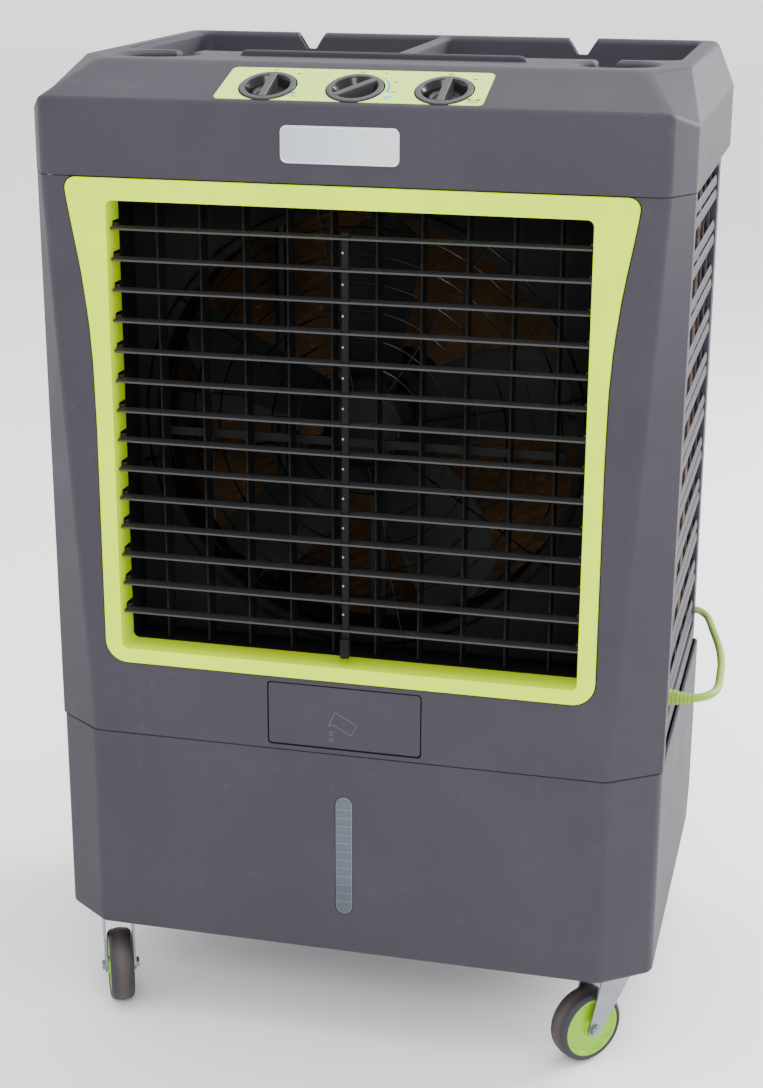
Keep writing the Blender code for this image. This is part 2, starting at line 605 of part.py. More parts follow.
# ---------------------------------------------------------------- air path
def fan_shroud():
    w, overlap = COLLAR_WALL, 1.5
    collar = sheet(rounded(-OPEN_HALF - w, OPEN_HALF + w, OPEN_BOTTOM - w, OPEN_TOP + w, 4),
                   SHROUD_PLATE + overlap - SHROUD_FRONT, XZ, -(SHROUD_PLATE + overlap + SHROUD_FRONT) / 2,
                   [rounded(-OPEN_HALF, OPEN_HALF, OPEN_BOTTOM, OPEN_TOP, 2)])
    shroud = part("fan_shroud", collar, "black")
    drills = [rod((x, VANE_Y, OPEN_BOTTOM - 9), (x, VANE_Y, OPEN_TOP + 9), PIN_HOLE_R, PIN_SIDES) for x in vane_xs()]
    combine(shroud, joined(*drills))
    plate = sheet(rounded(-SHROUD_HALF, SHROUD_HALF, SHROUD_BOTTOM, SHROUD_TOP, 10), SHROUD_BACK - SHROUD_PLATE, XZ,
                  -(SHROUD_BACK + SHROUD_PLATE) / 2, [circle(0, FAN_Z, DUCT_R + overlap, 44)])
    combine(shroud, plate, "UNION")
    duct = sheet(circle(0, FAN_Z, DUCT_R + 3.5, 44), DUCT_BACK - SHROUD_PLATE - overlap, XZ,
                 -(DUCT_BACK + SHROUD_PLATE + overlap) / 2, [circle(0, FAN_Z, DUCT_R, 44)])
    combine(shroud, duct, "UNION")


def fan():
    to_y = Matrix.Rotation(math.radians(90), 4, "X")
    r = HUB_R
    profile = [(0, 22), (r - 14, 20), (r - 5, 15), (r, 6), (r, -18), (r - 3, -20), (0, -20)]
    rotor = turned("fan", profile, "black", place(0, FAN_Y, FAN_Z, to_y), 24)
    outline = [(HUB_R - 8, -24), (90, -36), (150, -46), (188, -44), (FAN_R, -30), (FAN_R, 30), (182, 42), (120, 36),
               (70, 28), (HUB_R - 8, 22)]
    blades = []
    for i in range(BLADES):
        blade = sheet(outline, 2.6, Matrix.Rotation(math.radians(BLADE_PITCH), 4, "X"), 0)
        spin = Matrix.Rotation(math.radians(12 + 360 * i / BLADES), 4, "Z")
        blades.append(moved(blade, Matrix.Translation((0, FAN_Y, FAN_Z)) @ to_y @ spin))
    combine(rotor, joined(*blades), "UNION")


def fan_motor():
    to_y = Matrix.Rotation(math.radians(90), 4, "X")
    r, half = MOTOR_R, (MOTOR_BACK - MOTOR_FRONT) / 2
    profile = [(0, half + 12.6), (6, half + 12.6), (6, half), (r - 8, half), (r, half - 6), (r, -half + 6),
               (r - 8, -half), (0, -half)]
    motor = turned("fan_motor", profile, "motor", place(0, (MOTOR_FRONT + MOTOR_BACK) / 2, FAN_Z, to_y), 24)
    y0, y1 = MOTOR_FRONT - 1, MOTOR_FRONT + 4
    combine(motor, box((-POST - 6, y0, FAN_Z - 9), (POST + 6, y1, FAN_Z + 9)), "UNION")
    combine(motor, box((-8, y0 + 0.5, FAN_Z - POST - 6), (8, y1 - 0.5, FAN_Z + POST + 6)), "UNION")
    posts = [box((x - 6, SHROUD_BACK + GAP, FAN_Z - 7), (x + 6, y1 - 1, FAN_Z + 7)) for x in (-POST, POST)]
    posts += [box((-6, SHROUD_BACK + GAP, z - 6), (6, y1 - 1, z + 5.5)) for z in (FAN_Z - POST, FAN_Z + POST)]
    combine(motor, joined(*posts), "UNION")


def pads():
    for name, lo, hi in (("pad_left", (-284, -134, 322), (-259, 144, 838)), ("pad_right", (259, -134, 322), (284, 144, 838)),
                         ("pad_rear", (-250, 150, 322), (250, 178, 838))):
        part(name, box(lo, hi), "pad")


# ---------------------------------------------------------------- louvred sides and back
def louvred(name, start, end, front_margin, frame, offset):
    """Framed panel of slanted louvres; the frame's normal points outward, offset is its outer face."""
    z0, z1 = SHELL_BOTTOM, SHELL_TOP
    hole = rounded(start + front_margin, end - 14, z0 + 20, z1 - 14, 3, 1)
    panel = part(name, sheet(rounded(start, end, z0, z1, 2, 1), SHEET, frame, offset - SHEET / 2, [hole]), "body")
    a, b = start + front_margin - 1.5, end - 12.5
    blades = []
    for i in range(LOUVRES):
        middle = Vector((0, LOUVRE_FIRST + LOUVRE_PITCH * i, offset - 5.2))
        blade = box((a, -LOUVRE_HEIGHT / 2, -LOUVRE_THICK / 2), (b, LOUVRE_HEIGHT / 2, LOUVRE_THICK / 2))
        tilt = Matrix.Rotation(math.radians(-LOUVRE_TILT), 4, "X")
        blades.append(moved(blade, frame @ Matrix.Translation(middle) @ tilt))
    combine(panel, joined(*blades), "UNION")
    ribs = []
    for i in range(1, 3):
        u = a + (b - a) * i / 3
        ribs.append(moved(box((u - 2, z0 + 18, offset - 9), (u + 2, z1 - 12, offset - 1.2)), frame))
    return combine(panel, joined(*ribs), "UNION")


def shell_panels():
    right = louvred("side_panel_right", SIDE_FRONT, SIDE_REAR, 38, YZ, SIDE_X)
    combine(right, rod((285, GLAND_Y, GLAND_Z), (305, GLAND_Y, GLAND_Z), 7.4, 20))
    flipped = Matrix(((0, 0, -1, 0), (1, 0, 0, 0), (0, 1, 0, 0), (0, 0, 0, 1)))
    louvred("side_panel_left", SIDE_FRONT, SIDE_REAR, 38, flipped, SIDE_X)
    backward = Matrix(((1, 0, 0, 0), (0, 0, 1, 0), (0, 1, 0, 0), (0, 0, 0, 1)))
    louvred("rear_panel", -BACK_HALF, BACK_HALF, 14, backward, BACK_Y)


# ---------------------------------------------------------------- castors
def castors():
    for name, x, y, heading in CASTORS:
        turn = Matrix.Rotation(math.radians(heading), 4, "Z")
        base = Matrix.Translation((x, y, 0)) @ turn
        arm = arc(TRAIL, WHEEL_R, 8, 200, 360, 4) + [(20, 92), (-19, 92)]
        arms = [moved(sheet(arm, FORK_SHEET, XZ, side * (FORK_INNER + FORK_SHEET / 2)), base) for side in (-1, 1)]
        crown_half = FORK_INNER + FORK_SHEET
        crown = moved(box((-19, -crown_half, 89.6), (20, crown_half, 92)), base)
        fork = part(f"castor_fork_{name}", crown, "zinc", (x, y, TANK_BOTTOM))
        combine(fork, joined(*arms), "UNION")
        combine(fork, moved(rod((0, 0, 91), (0, 0, TANK_BOTTOM - GAP), 18, 18), base), "UNION")
        reach = crown_half + 3.5
        axle = moved(rod((TRAIL, -reach, WHEEL_R), (TRAIL, reach, WHEEL_R), AXLE_R, 10), base)
        combine(fork, axle, "UNION")
        nuts = [moved(rod((TRAIL, side * (crown_half - 0.4), WHEEL_R), (TRAIL, side * (reach - 0.6), WHEEL_R), 6, 6), base)
                for side in (-1, 1)]
        combine(fork, joined(*nuts), "UNION")
        centre = base @ Vector((TRAIL, 0, WHEEL_R))
        w, r, bore = WHEEL_HALF, WHEEL_R, AXLE_R + 0.4
        profile = [(bore, w + 0.6), (9, w + 0.6), (10, w - 3), (r - 9, w - 3), (r - 7, w), (r - 2.5, w), (r, w - 3),
                   (r, -w + 3), (r - 2.5, -w), (r - 7, -w), (r - 9, -w + 3), (10, -w + 3), (9, -w - 0.6), (bore, -w - 0.6)]
        spin = turn @ Matrix.Rotation(math.radians(90), 4, "X")
        turned(f"castor_wheel_{name}", profile, "wheel", place(*centre, spin), 24)


# ---------------------------------------------------------------- mains lead
def lead():
    to_x = Matrix.Rotation(math.radians(90), 4, "Y")
    start = SIDE_X + GAP
    profile = [(0, GLAND_END - start), (4.6, GLAND_END - start), (6.2, 4), (9, 3), (9, 0), (7, 0), (7, -8.5), (0, -8.5)]
    turned("cord_gland", profile, "lime", place(start, GLAND_Y, GLAND_Z, to_x), 16)
    points = [Vector(ROUTE[0])] + smooth_route(ROUTE[1:], 18.0)
    cord = bpy.data.objects.new("power_cord", pipe_curve([p * MM for p in points], CORD_R * MM, 2))
    cord.data.materials.append(material("lime"))
    PARTS.objects.link(cord)
    r, s, h = COIL_R, COIL_SECTION, COIL_HEIGHT
    profile = [(r - s, h - 3), (r - s + 3, h), (r + s - 3, h), (r + s, h - 3), (r + s, 3.5), (r + s - 3, 0.5),
               (r - s + 3, 0.5), (r - s, 3.5)]
    turned("cord_coil", profile, "lime", place(COIL_X, COIL_Y, 0), 28)
    x = COIL_X - COIL_R - COIL_SECTION - GAP
    body = part("cord_plug", box((x - 42, COIL_Y - 14, 0.5), (x, COIL_Y + 14, 23)), "plug")
    bevel = body.modifiers.new("edges", "BEVEL")
    bevel.width, bevel.segments = 4 * MM, 2
    blades = [box((x - 60, COIL_Y + side * 6.4 - 0.8, 8.5), (x - 38, COIL_Y + side * 6.4 + 0.8, 15)) for side in (-1, 1)]
    combine(body, joined(*blades), "UNION")


top_cap()
knobs()
water_tank()
drain_plug()
pump()
water_pipe()
float_arm()
front_panel()
bezel()
fill_door()
slats()
slat_link()
vanes()
vane_link()
fan_shroud()
fan()
fan_motor()
pads()
shell_panels()
castors()
lead()
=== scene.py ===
"""Finished look of a portable evaporative cooler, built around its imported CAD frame."""
import json
import math

import bmesh
import bpy
import numpy as np
from mathutils import Matrix, Vector


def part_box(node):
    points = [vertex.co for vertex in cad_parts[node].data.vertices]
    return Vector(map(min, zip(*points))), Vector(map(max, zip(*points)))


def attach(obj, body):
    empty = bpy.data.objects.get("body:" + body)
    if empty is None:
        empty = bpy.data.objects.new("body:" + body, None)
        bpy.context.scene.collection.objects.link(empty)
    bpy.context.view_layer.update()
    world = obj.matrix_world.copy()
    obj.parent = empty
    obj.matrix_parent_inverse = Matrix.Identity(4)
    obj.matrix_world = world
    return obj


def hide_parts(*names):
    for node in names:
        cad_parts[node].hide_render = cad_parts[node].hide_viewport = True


bl_info = {
    "name": "Evaporative Cooler",
    "version": (1, 0, 0),
    "blender": (4, 5, 0),
    "location": "3D View > Sidebar > Cooler",
    "description": "Builds the body, louvres, controls, castors and mains lead of an evaporative cooler",
    "category": "Object",
}

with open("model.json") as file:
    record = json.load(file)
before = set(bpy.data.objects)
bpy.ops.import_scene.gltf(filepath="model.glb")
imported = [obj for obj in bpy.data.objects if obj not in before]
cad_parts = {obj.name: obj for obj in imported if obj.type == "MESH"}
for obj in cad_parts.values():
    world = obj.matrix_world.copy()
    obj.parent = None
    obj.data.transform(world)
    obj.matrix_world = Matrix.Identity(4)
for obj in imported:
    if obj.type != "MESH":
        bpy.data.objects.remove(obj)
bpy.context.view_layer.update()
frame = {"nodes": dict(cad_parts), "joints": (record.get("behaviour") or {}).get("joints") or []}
NODES = frame["nodes"]
JOINTS = {joint["name"]: joint for joint in frame["joints"]}

MM = 0.001
HOUSING = "housing"
SIDES = (-1, 1)

# Positions and sizes, in millimetres: body, louvres, tank, openings, controls, castors, fan and lead
FRONT, REAR = -215.0, 215.0
CAP_BOTTOM, DECK, RIM_TOP = 854.5, 954.0, 960.0
SLOPE_FOOT, CROWN_Y, SHOULDER_FRONT, SHOULDER_REAR, RISE_FROM = 924.0, -143.0, 912.0, 917.0, 930.0
CAP_FLAT, CAP_HALF, CAP_SIDE_Y = 284.0, 305.0, -176.0
DECK_FLAT, DECK_HALF, DECK_SIDE_Y = 254.0, 287.0, -84.0
TRAY_HALF, TRAY_FRONT, TRAY_REAR, TRAY_FLOOR, RIB_HALF = 268.0, -22.0, 203.0, 926.0, 5.0
CUP_X, CUP_Y, CUP_R, CUP_FLOOR = 218.0, -78.0, 39.0, 908.0
SLOT_FLOOR, NOTCH_X, NOTCH_FLOOR = 918.0, 147.0, 943.0
LIP_HALF, LIP_Y = 138.0, -75.0
FLOAT_X, FLOAT_Y, FLOAT_Z = 278.0, 100.0, 280.0
INLET_X, INLET_REAR = 287.0, 230.3
BADGE = (-57.0, 51.0, 872.5, 905.5)
LOUVRES, LOUVRE_FIRST, LOUVRE_PITCH, LOUVRE_LEAN = 11, 352.0, 46.5, 5
SLAT_Y, SLAT_TOP, SLAT_PITCH, SLATS, SLAT_TILT = -197.0, 809.5, 28.5, 14, 12.0
TANK_BOTTOM, TANK_TOP, TANK_HALF, TANK_REAR, TANK_WALL = 97.0, 311.0, 302.0, 197.0, 3.5
PANEL_BOTTOM, PANEL_TOP = 311.4, 854.1
OPEN_HALF, OPEN_BOTTOM, OPEN_TOP = 222.5, 401.0, 833.5
BEZEL_BOTTOM, BEZEL_TOP = 386.0, 853.6
BEZEL_SIDE = ((239.5, 410.0), (239.5, 620.0), (240.6, 682.0), (243.2, 722.0),
              (249.0, 769.0), (256.6, 812.0), (260.4, 834.0))
DOOR = (-75.3, 75.3, 317.0, 380.0)
KNOBS = (("knob_pump", -76.0, 0.0), ("knob_speed", 4.0, 45.0), ("knob_swing", 84.0, 0.0))
KNOB_Y, KNOB_R = -187.0, 25.5
WINDOW = (0.0, 140.0, 267.0, 8.7)
CASTORS = (("front_right", 259.0, -168.0, 225.8), ("front_left", -259.0, -168.0, 295.5),
           ("rear_right", 259.0, 128.0, 74.0), ("rear_left", -259.0, 128.0, 101.0))
TRAIL, WHEEL_R, WHEEL_HALF = 27.0, 37.5, 12.5
FAN_Y, FAN_Z, FAN_R, HUB_R, BLADES = -113.0, 617.0, 198.0, 46.0, 5
BLADE_MIDDLE, BLADE_REACH, BLADE_HALF, LINK_FRONT = -4.25, 9.25, 221.5, -208.4
ROUTE = ((312.4, -138, 372), (319, -138, 372), (332, -131.5, 372.3), (341, -118, 372.2), (344.5, -98, 371.5),
         (343.5, -60, 368.5), (341, -10, 362), (334, 55, 354.5), (322, 125, 348), (310, 186, 342),
         (291, 224, 334), (261, 243, 317), (232, 248, 284), (211, 248, 240), (197, 248, 180), (189, 250, 112),
         (184, 259, 52), (181, 277, 14), (178, 300, 4.6), (169.5, 323, 4.4))
COIL_X, COIL_Y = 112.0, 330.0
GLAND = (-138, 372)
HOOK = ((195, 321), (224, 320), (241, 322), (249, 331), (250, 341))
HOOK_X = 281

SLOPE = Vector((0, SLOPE_FOOT - DECK, CROWN_Y - FRONT)).normalized()
SLOPE_TURN = Matrix(((1, 0, 0, 0), (0, SLOPE.z, SLOPE.y, 0), (0, -SLOPE.y, SLOPE.z, 0), (0, 0, 0, 1)))


# ------------------------------------------------------------------ settings
def size(label, description, default, low, high):
    return bpy.props.FloatProperty(name=label, description=description, default=default, min=low, max=high,
                                   unit="LENGTH")


class CoolerSizes(bpy.types.PropertyGroup):
    """Sizes a user would change."""
    shoulder: size("Shoulder radius", "Rounding where the cap's sides turn over", 0.005, 0.002, 0.03)
    rim: size("Recess rim", "Rounding of the tray and cup rims", 0.0045, 0.001, 0.006)
    bend: size("Panel bend", "Rounding of the body's front corners", 0.014, 0.002, 0.02)
    lead: size("Lead diameter", "Outer diameter of the mains lead", 0.008, 0.006, 0.01)
    label: size("Label thickness", "Thickness of the control label", 0.0005, 0.0002, 0.001)


def colour(label, default):
    return bpy.props.FloatVectorProperty(name=label, description=f"{label} base colour, linear",
                                         subtype="COLOR", size=3, min=0, max=1, default=default)


class CoolerColours(bpy.types.PropertyGroup):
    """Base colours a user would change."""
    body: colour("Body", (0.0405, 0.0368, 0.0480))
    lime: colour("Lime trim", (0.68, 0.96, 0.004))
    louvre: colour("Louvre", (0.021, 0.021, 0.022))
    label: colour("Label", (0.58, 0.84, 0.14))
    knob: colour("Knob", (0.040, 0.040, 0.043))
    pad: colour("Cooling pad", (0.15, 0.076, 0.030))
    zinc: colour("Zinc plate", (0.27, 0.285, 0.31))
    hub: colour("Wheel hub", (0.22, 0.46, 0.006))
    tyre: colour("Tyre", (0.017, 0.015, 0.020))
    window: colour("Level window", (0.056, 0.069, 0.090))
    print_dark: colour("Dark print", (0.03, 0.05, 0.06))
    print_blue: colour("Blue print", (0.05, 0.32, 0.55))
    lead: colour("Mains lead", (0.22, 0.38, 0.022))


# ------------------------------------------------------------------ shader maths
class Wire:
    """A shader socket that can be added, subtracted and multiplied."""

    def __init__(self, graph, socket):
        self.graph, self.socket = graph, socket

    def maths(self, operation, *others, swap=False):
        values = [self, *others]
        if swap:
            values.reverse()
        return self.graph.node("ShaderNodeMath", {"operation": operation}, dict(enumerate(values)))

    def __add__(self, other):
        return self.maths("ADD", other)

    def __sub__(self, other):
        return self.maths("SUBTRACT", other)

    def __rsub__(self, other):
        return self.maths("SUBTRACT", other, swap=True)

    def __mul__(self, other):
        return self.maths("MULTIPLY", other)

    __radd__, __rmul__ = __add__, __mul__

    def ramp(self, low, high):
        """0 at low, 1 at high, smooth between."""
        return self.graph.node("ShaderNodeMapRange", {"interpolation_type": "SMOOTHSTEP"},
                               {"Value": self, "From Min": low, "From Max": high})


class Graph:
    """Node tree of one material, built by expressions."""

    def __init__(self, name):
        self.material = bpy.data.materials.new(name)
        self.material.use_nodes = True
        self.tree = self.material.node_tree
        self.shader = self.tree.nodes["Principled BSDF"]

    def node(self, kind, settings=None, sockets=None, out=0):
        made = self.tree.nodes.new(kind)
        for key, value in (settings or {}).items():
            setattr(made, key, value)
        for key, value in (sockets or {}).items():
            self.put(made.inputs[key], value)
        return Wire(self, made.outputs[out])

    def put(self, socket, value):
        if isinstance(value, Wire):
            self.tree.links.new(value.socket, socket)
        elif isinstance(value, (tuple, list)) and len(value) == 3 and len(socket.default_value) == 4:
            socket.default_value = (*value, 1.0)
        else:
            socket.default_value = value

    def place(self):
        return self.node("ShaderNodeTexCoord", out=3)

    def axes(self):
        """Object X, Y and Z in metres."""
        split = self.tree.nodes.new("ShaderNodeSeparateXYZ")
        self.tree.links.new(self.place().socket, split.inputs[0])
        return [Wire(self, output) for output in split.outputs]

    def stretched(self, scale):
        return self.node("ShaderNodeMapping", {}, {"Vector": self.place(), "Scale": scale})

    def noise(self, scale, detail=3.0, roughness=0.55, vector=None):
        return self.node("ShaderNodeTexNoise", {}, {"Vector": vector or self.place(), "Scale": scale,
                                                    "Detail": detail, "Roughness": roughness})

    def mix(self, factor, first, second):
        return self.node("ShaderNodeMix", {"data_type": "RGBA"}, {0: factor, 6: first, 7: second}, out=2)

    def finish(self, base, rough, bump=None, strength=0.1, distance=0.001, **fixed):
        self.put(self.shader.inputs["Base Color"], base)
        self.put(self.shader.inputs["Roughness"], rough)
        for key, value in fixed.items():
            self.shader.inputs[key.replace("_", " ")].default_value = value
        if bump is not None:
            normal = self.node("ShaderNodeBump", {},
                               {"Height": bump, "Strength": strength, "Distance": distance})
            self.put(self.shader.inputs["Normal"], normal)
        return self.material


def shade(rgb, factor):
    return tuple(min(1.0, channel * factor) for channel in rgb)


def moulded(name, rgb, rough=0.5, grain=0.16, dust=0.0, coat=0.0, specular=0.3, nose=None):
    """Injection-moulded plastic: fine spark grain, slow tone drift, rubbed patches and settled dust.

    nose gives two depths and a colour: the plastic turns to that colour in front of them, a painted highlight
    along the lit front edge.
    """
    g = Graph(name)
    drift = g.noise(9.0, 4.0)
    flow = g.noise(1.0, 3.0, 0.6, g.stretched((26.0, 26.0, 5.0)))
    base = g.mix(drift.ramp(0.35, 0.7), shade(rgb, 0.95), shade(rgb, 1.06))
    base = g.mix((flow - 0.5) * 0.22 + 0.11, base, shade(rgb, 1.18))
    if dust:
        speck = g.noise(55.0, 5.0, 0.7).ramp(0.56, 0.78)
        base = g.mix(speck * dust, base, (0.42, 0.40, 0.37))
    # painted highlight: in front of the nose depths the colour turns lighter, standing in for light on the
    # front edge
    if nose:
        base = g.mix(1 - g.axes()[1].ramp(*nose[:2]), base, nose[2])
    fine = g.noise(2400.0, 2.0)
    worn = g.noise(18.0, 5.0, 0.65).ramp(0.5, 0.75)
    return g.finish(base, fine * 0.16 + rough - 0.08 - worn * 0.05, fine, grain, 0.0004, Coat_Weight=coat,
                    Specular_IOR_Level=specular)


def satin_metal(name, rgb, rough, streak=(900.0, 900.0, 40.0)):
    """Plated or brushed metal: fine streaks, cloudy passivation and a few dull spots."""
    g = Graph(name)
    streaks = g.noise(1.0, 3.0, 0.6, g.stretched(streak))
    cloud = g.noise(60.0, 4.0).ramp(0.4, 0.7)
    base = g.mix(cloud * 0.5, rgb, shade(rgb, 0.82))
    return g.finish(base, streaks * 0.2 + cloud * 0.1 + rough - 0.1, streaks, 0.05, 0.0002, Metallic=1.0)


def rubber(name, rgb):
    """Moulded tyre: dull, faintly mottled, its crown scuffed brown where it has rolled."""
    g = Graph(name)
    scuff = g.noise(140.0, 6.0, 0.7).ramp(0.5, 0.72)
    crown = g.node("ShaderNodeAttribute", {"attribute_name": "crown"}, out=2)
    base = g.mix(scuff * 0.6, rgb, shade(rgb, 1.55))
    base = g.mix(crown * (scuff * 0.4 + 0.5), base, (0.075, 0.055, 0.042))
    fine = g.noise(1500.0, 3.0)
    return g.finish(base, scuff * 0.12 + 0.6, fine, 0.25, 0.0004)


def fluted_pad(name, rgb):
    """Cellulose cooling pad: paper fibre with wet, darker lower streaks and pale mineral bloom."""
    g = Graph(name)
    fibre = g.noise(1.0, 5.0, 0.7, g.stretched((900.0, 900.0, 220.0)))
    wet = g.noise(14.0, 4.0)
    base = g.mix(wet.ramp(0.35, 0.7), shade(rgb, 0.68), shade(rgb, 1.15))
    base = g.mix(g.noise(75.0, 5.0, 0.7).ramp(0.6, 0.8) * 0.5, base, (0.62, 0.55, 0.44))
    return g.finish(base, fibre * 0.2 + 0.72, fibre, 0.5, 0.0008)


def clear_window(name, rgb):
    """Frosted sight window: a little darker where water stands, with a soft haze."""
    g = Graph(name)
    level = g.axes()[2].ramp(0.168, 0.182)
    haze = g.noise(420.0, 3.0)
    cloud = g.noise(40.0, 4.0).ramp(0.4, 0.7)
    base = g.mix(level * 0.7 + 0.3, shade(rgb, 0.72), rgb)
    base = g.mix(cloud * 0.2, base, shade(rgb, 1.5))
    return g.finish(base, haze * 0.14 + 0.2, haze, 0.06, 0.0003, Coat_Weight=0.3, Specular_IOR_Level=0.35)


def brushed_badge(name):
    """Anodised plate: level brush lines and a slow cool gradient from end to end."""
    g = Graph(name)
    brush = g.noise(1.0, 3.0, 0.6, g.stretched((60.0, 60.0, 5200.0)))
    slow = g.axes()[0].ramp(-0.06, 0.05)
    base = g.mix(slow, (0.50, 0.55, 0.61), (0.64, 0.67, 0.71))
    return g.finish(base, brush * 0.2 + 0.32, brush, 0.05, 0.0002, Metallic=0.55)


# ------------------------------------------------------------------ shape helpers
def unit(v):
    return v / np.maximum(np.linalg.norm(v, axis=-1, keepdims=True), 1e-12)


def rounded(points, radius, steps=6, closed=True):
    """Polyline with its corners turned into arcs, along the first axis of points.

    Each corner gives a rational quadratic from a point before it to a point after it; the
    corner's weight is the sine of half its inner angle, which makes the curve a circle's arc.
    """
    p = np.asarray(points, float)
    back, ahead = np.roll(p, 1, 0) - p, np.roll(p, -1, 0) - p
    a, b = unit(back), unit(ahead)
    half = np.arccos(np.clip((a * b).sum(-1), -1, 1)) / 2
    r = np.asarray(radius, float)
    r = np.broadcast_to(r.reshape(r.shape + (1,) * (half.ndim - r.ndim)), half.shape) if r.ndim else r
    reach = 0.49 * np.minimum(np.linalg.norm(back, axis=-1), np.linalg.norm(ahead, axis=-1))
    trim = np.minimum(r / np.maximum(np.tan(half), 1e-6), reach)[..., None]
    weight = np.sin(half)[..., None]
    t = np.linspace(0, 1, steps + 1).reshape((-1,) + (1,) * p.ndim)
    k0, k1, k2 = (1 - t) ** 2, 2 * t * (1 - t) * weight, t ** 2
    arcs = (k0 * (p + a * trim) + k1 * p + k2 * (p + b * trim)) / (k0 + k1 + k2)
    arcs = np.moveaxis(arcs, 0, 1)
    if not closed:
        inner = arcs[1:-1].reshape((-1,) + p.shape[1:])
        return np.concatenate([p[:1], inner, p[-1:]])
    return arcs.reshape((-1,) + p.shape[1:])


def grid(points, wrap_rows=False):
    """Closed surface over a rows x columns grid of points whose columns wrap round.

    Quads join each point to its neighbours; the first and last rows are closed by one face.
    """
    rows, columns = points.shape[:2]
    r = np.arange(rows if wrap_rows else rows - 1)[:, None]
    c = np.arange(columns)[None, :]
    nr, nc = (r + 1) % rows, (c + 1) % columns
    quads = np.stack([r * columns + c, r * columns + nc, nr * columns + nc, nr * columns + c], -1)
    faces = quads.reshape(-1, 4).tolist()
    if not wrap_rows:
        faces += [list(range(columns))[::-1], [(rows - 1) * columns + i for i in range(columns)]]
    return points.reshape(-1, 3), faces


def gathered(pieces):
    """Several closed surfaces as one list of points and one of faces."""
    points, faces, start = [], [], 0
    for p, f in pieces:
        points.append(p)
        faces += [[i + start for i in face] for face in f]
        start += len(p)
    return np.concatenate(points), faces


def mesh_of(name, points, faces, matrix=None):
    mesh = bpy.data.meshes.new(name)
    mesh.from_pydata((np.asarray(points, float) * MM).tolist(), [], faces)
    if matrix is not None:
        mesh.transform(matrix)
    bm = bmesh.new()
    bm.from_mesh(mesh)
    bmesh.ops.remove_doubles(bm, verts=bm.verts, dist=2e-6)
    bmesh.ops.dissolve_degenerate(bm, edges=bm.edges, dist=1e-7)
    bmesh.ops.recalc_face_normals(bm, faces=bm.faces)
    bm.to_mesh(mesh)
    bm.free()
    return mesh


def metres(x, y, z, turn=None):
    """Matrix to a place given in millimetres."""
    return Matrix.Translation((x * MM, y * MM, z * MM)) @ (turn or Matrix.Identity(4))


def piece(name, shape, material, body, replaces=(), matrix=None, angle=32, weighted=True):
    """Object from (points, faces), smooth but for edges sharper than angle, riding on a body."""
    mesh = shape if isinstance(shape, bpy.types.Mesh) else mesh_of(name, *shape, matrix)
    mesh.name = name
    mesh.materials.clear()
    mesh.materials.append(material)
    mesh.shade_smooth()
    mesh.set_sharp_from_angle(angle=math.radians(angle))
    made = bpy.data.objects.new(name, mesh)
    bpy.context.scene.collection.objects.link(made)
    if weighted:
        normals = made.modifiers.new("even normals", "WEIGHTED_NORMAL")
        normals.keep_sharp = True
    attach(made, body)
    if replaces:
        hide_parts(*replaces)
    return made


def less(shape, matrix=None):
    """Boolean step that takes a shape away."""
    return "DIFFERENCE", mesh_of("carver", *shape, matrix)


def plus(shape):
    """Boolean step that adds a shape."""
    return "UNION", mesh_of("carver", *shape)


def carved(shape, steps):
    """Mesh of a closed shape after a list of Boolean steps."""
    base = bpy.data.objects.new("carved", mesh_of("carved", *shape))
    holders = [base]
    for operation, mesh in steps:
        holder = bpy.data.objects.new("carver", mesh)
        holders.append(holder)
        boolean = base.modifiers.new(operation, "BOOLEAN")
        boolean.operation, boolean.solver, boolean.object = operation, "EXACT", holder
    for holder in holders:
        bpy.context.scene.collection.objects.link(holder)
    evaluated = base.evaluated_get(bpy.context.evaluated_depsgraph_get())
    result = bpy.data.meshes.new_from_object(evaluated)
    for holder in holders:
        bpy.data.objects.remove(holder)
    return result


def plan(corners, z):
    """Corner list in x, y lifted to height z."""
    return np.array([(x, y, z) for x, y in corners], float)


def plate(outline, z0, z1):
    """Outline in x, y carried straight up from height z0 to z1."""
    return grid(np.stack([plan(outline, z) for z in (z0, z1)]))


def box_corners(x0, x1, y0, y1):
    return [(x0, y0), (x1, y0), (x1, y1), (x0, y1)]


def upright(outline_xz, y):
    """Outline in x, z set at depth y."""
    outline = np.asarray(outline_xz, float)
    return np.stack([outline[:, 0], np.full(len(outline), y), outline[:, 1]], -1)


def slab(outline_xz, y0, y1, edge=0.0, steps=3):
    """Plate between depths y0 and y1; its rim's rows shrink inward by edge (1 - sin a) to round it."""
    outline = np.asarray(outline_xz, float)
    if edge <= 0:
        return grid(np.stack([upright(outline, y0), upright(outline, y1)]))
    inward = unit(np.roll(outline, 1, 0) - np.roll(outline, -1, 0))[:, ::-1] * (1, -1)
    turn = np.cross(outline - np.roll(outline, 1, 0), np.roll(outline, -1, 0) - outline).sum()
    inward = inward * (-1 if turn < 0 else 1)
    s = np.linspace(0, math.pi / 2, steps + 1)
    rows = []
    for y, sign, order in ((y0, 1, s), (y1, -1, s[::-1])):
        for angle in order:
            drawn = outline + inward * edge * (1 - math.sin(angle))
            rows.append(upright(drawn, y + sign * edge * (1 - math.cos(angle))))
    return grid(np.stack(rows))


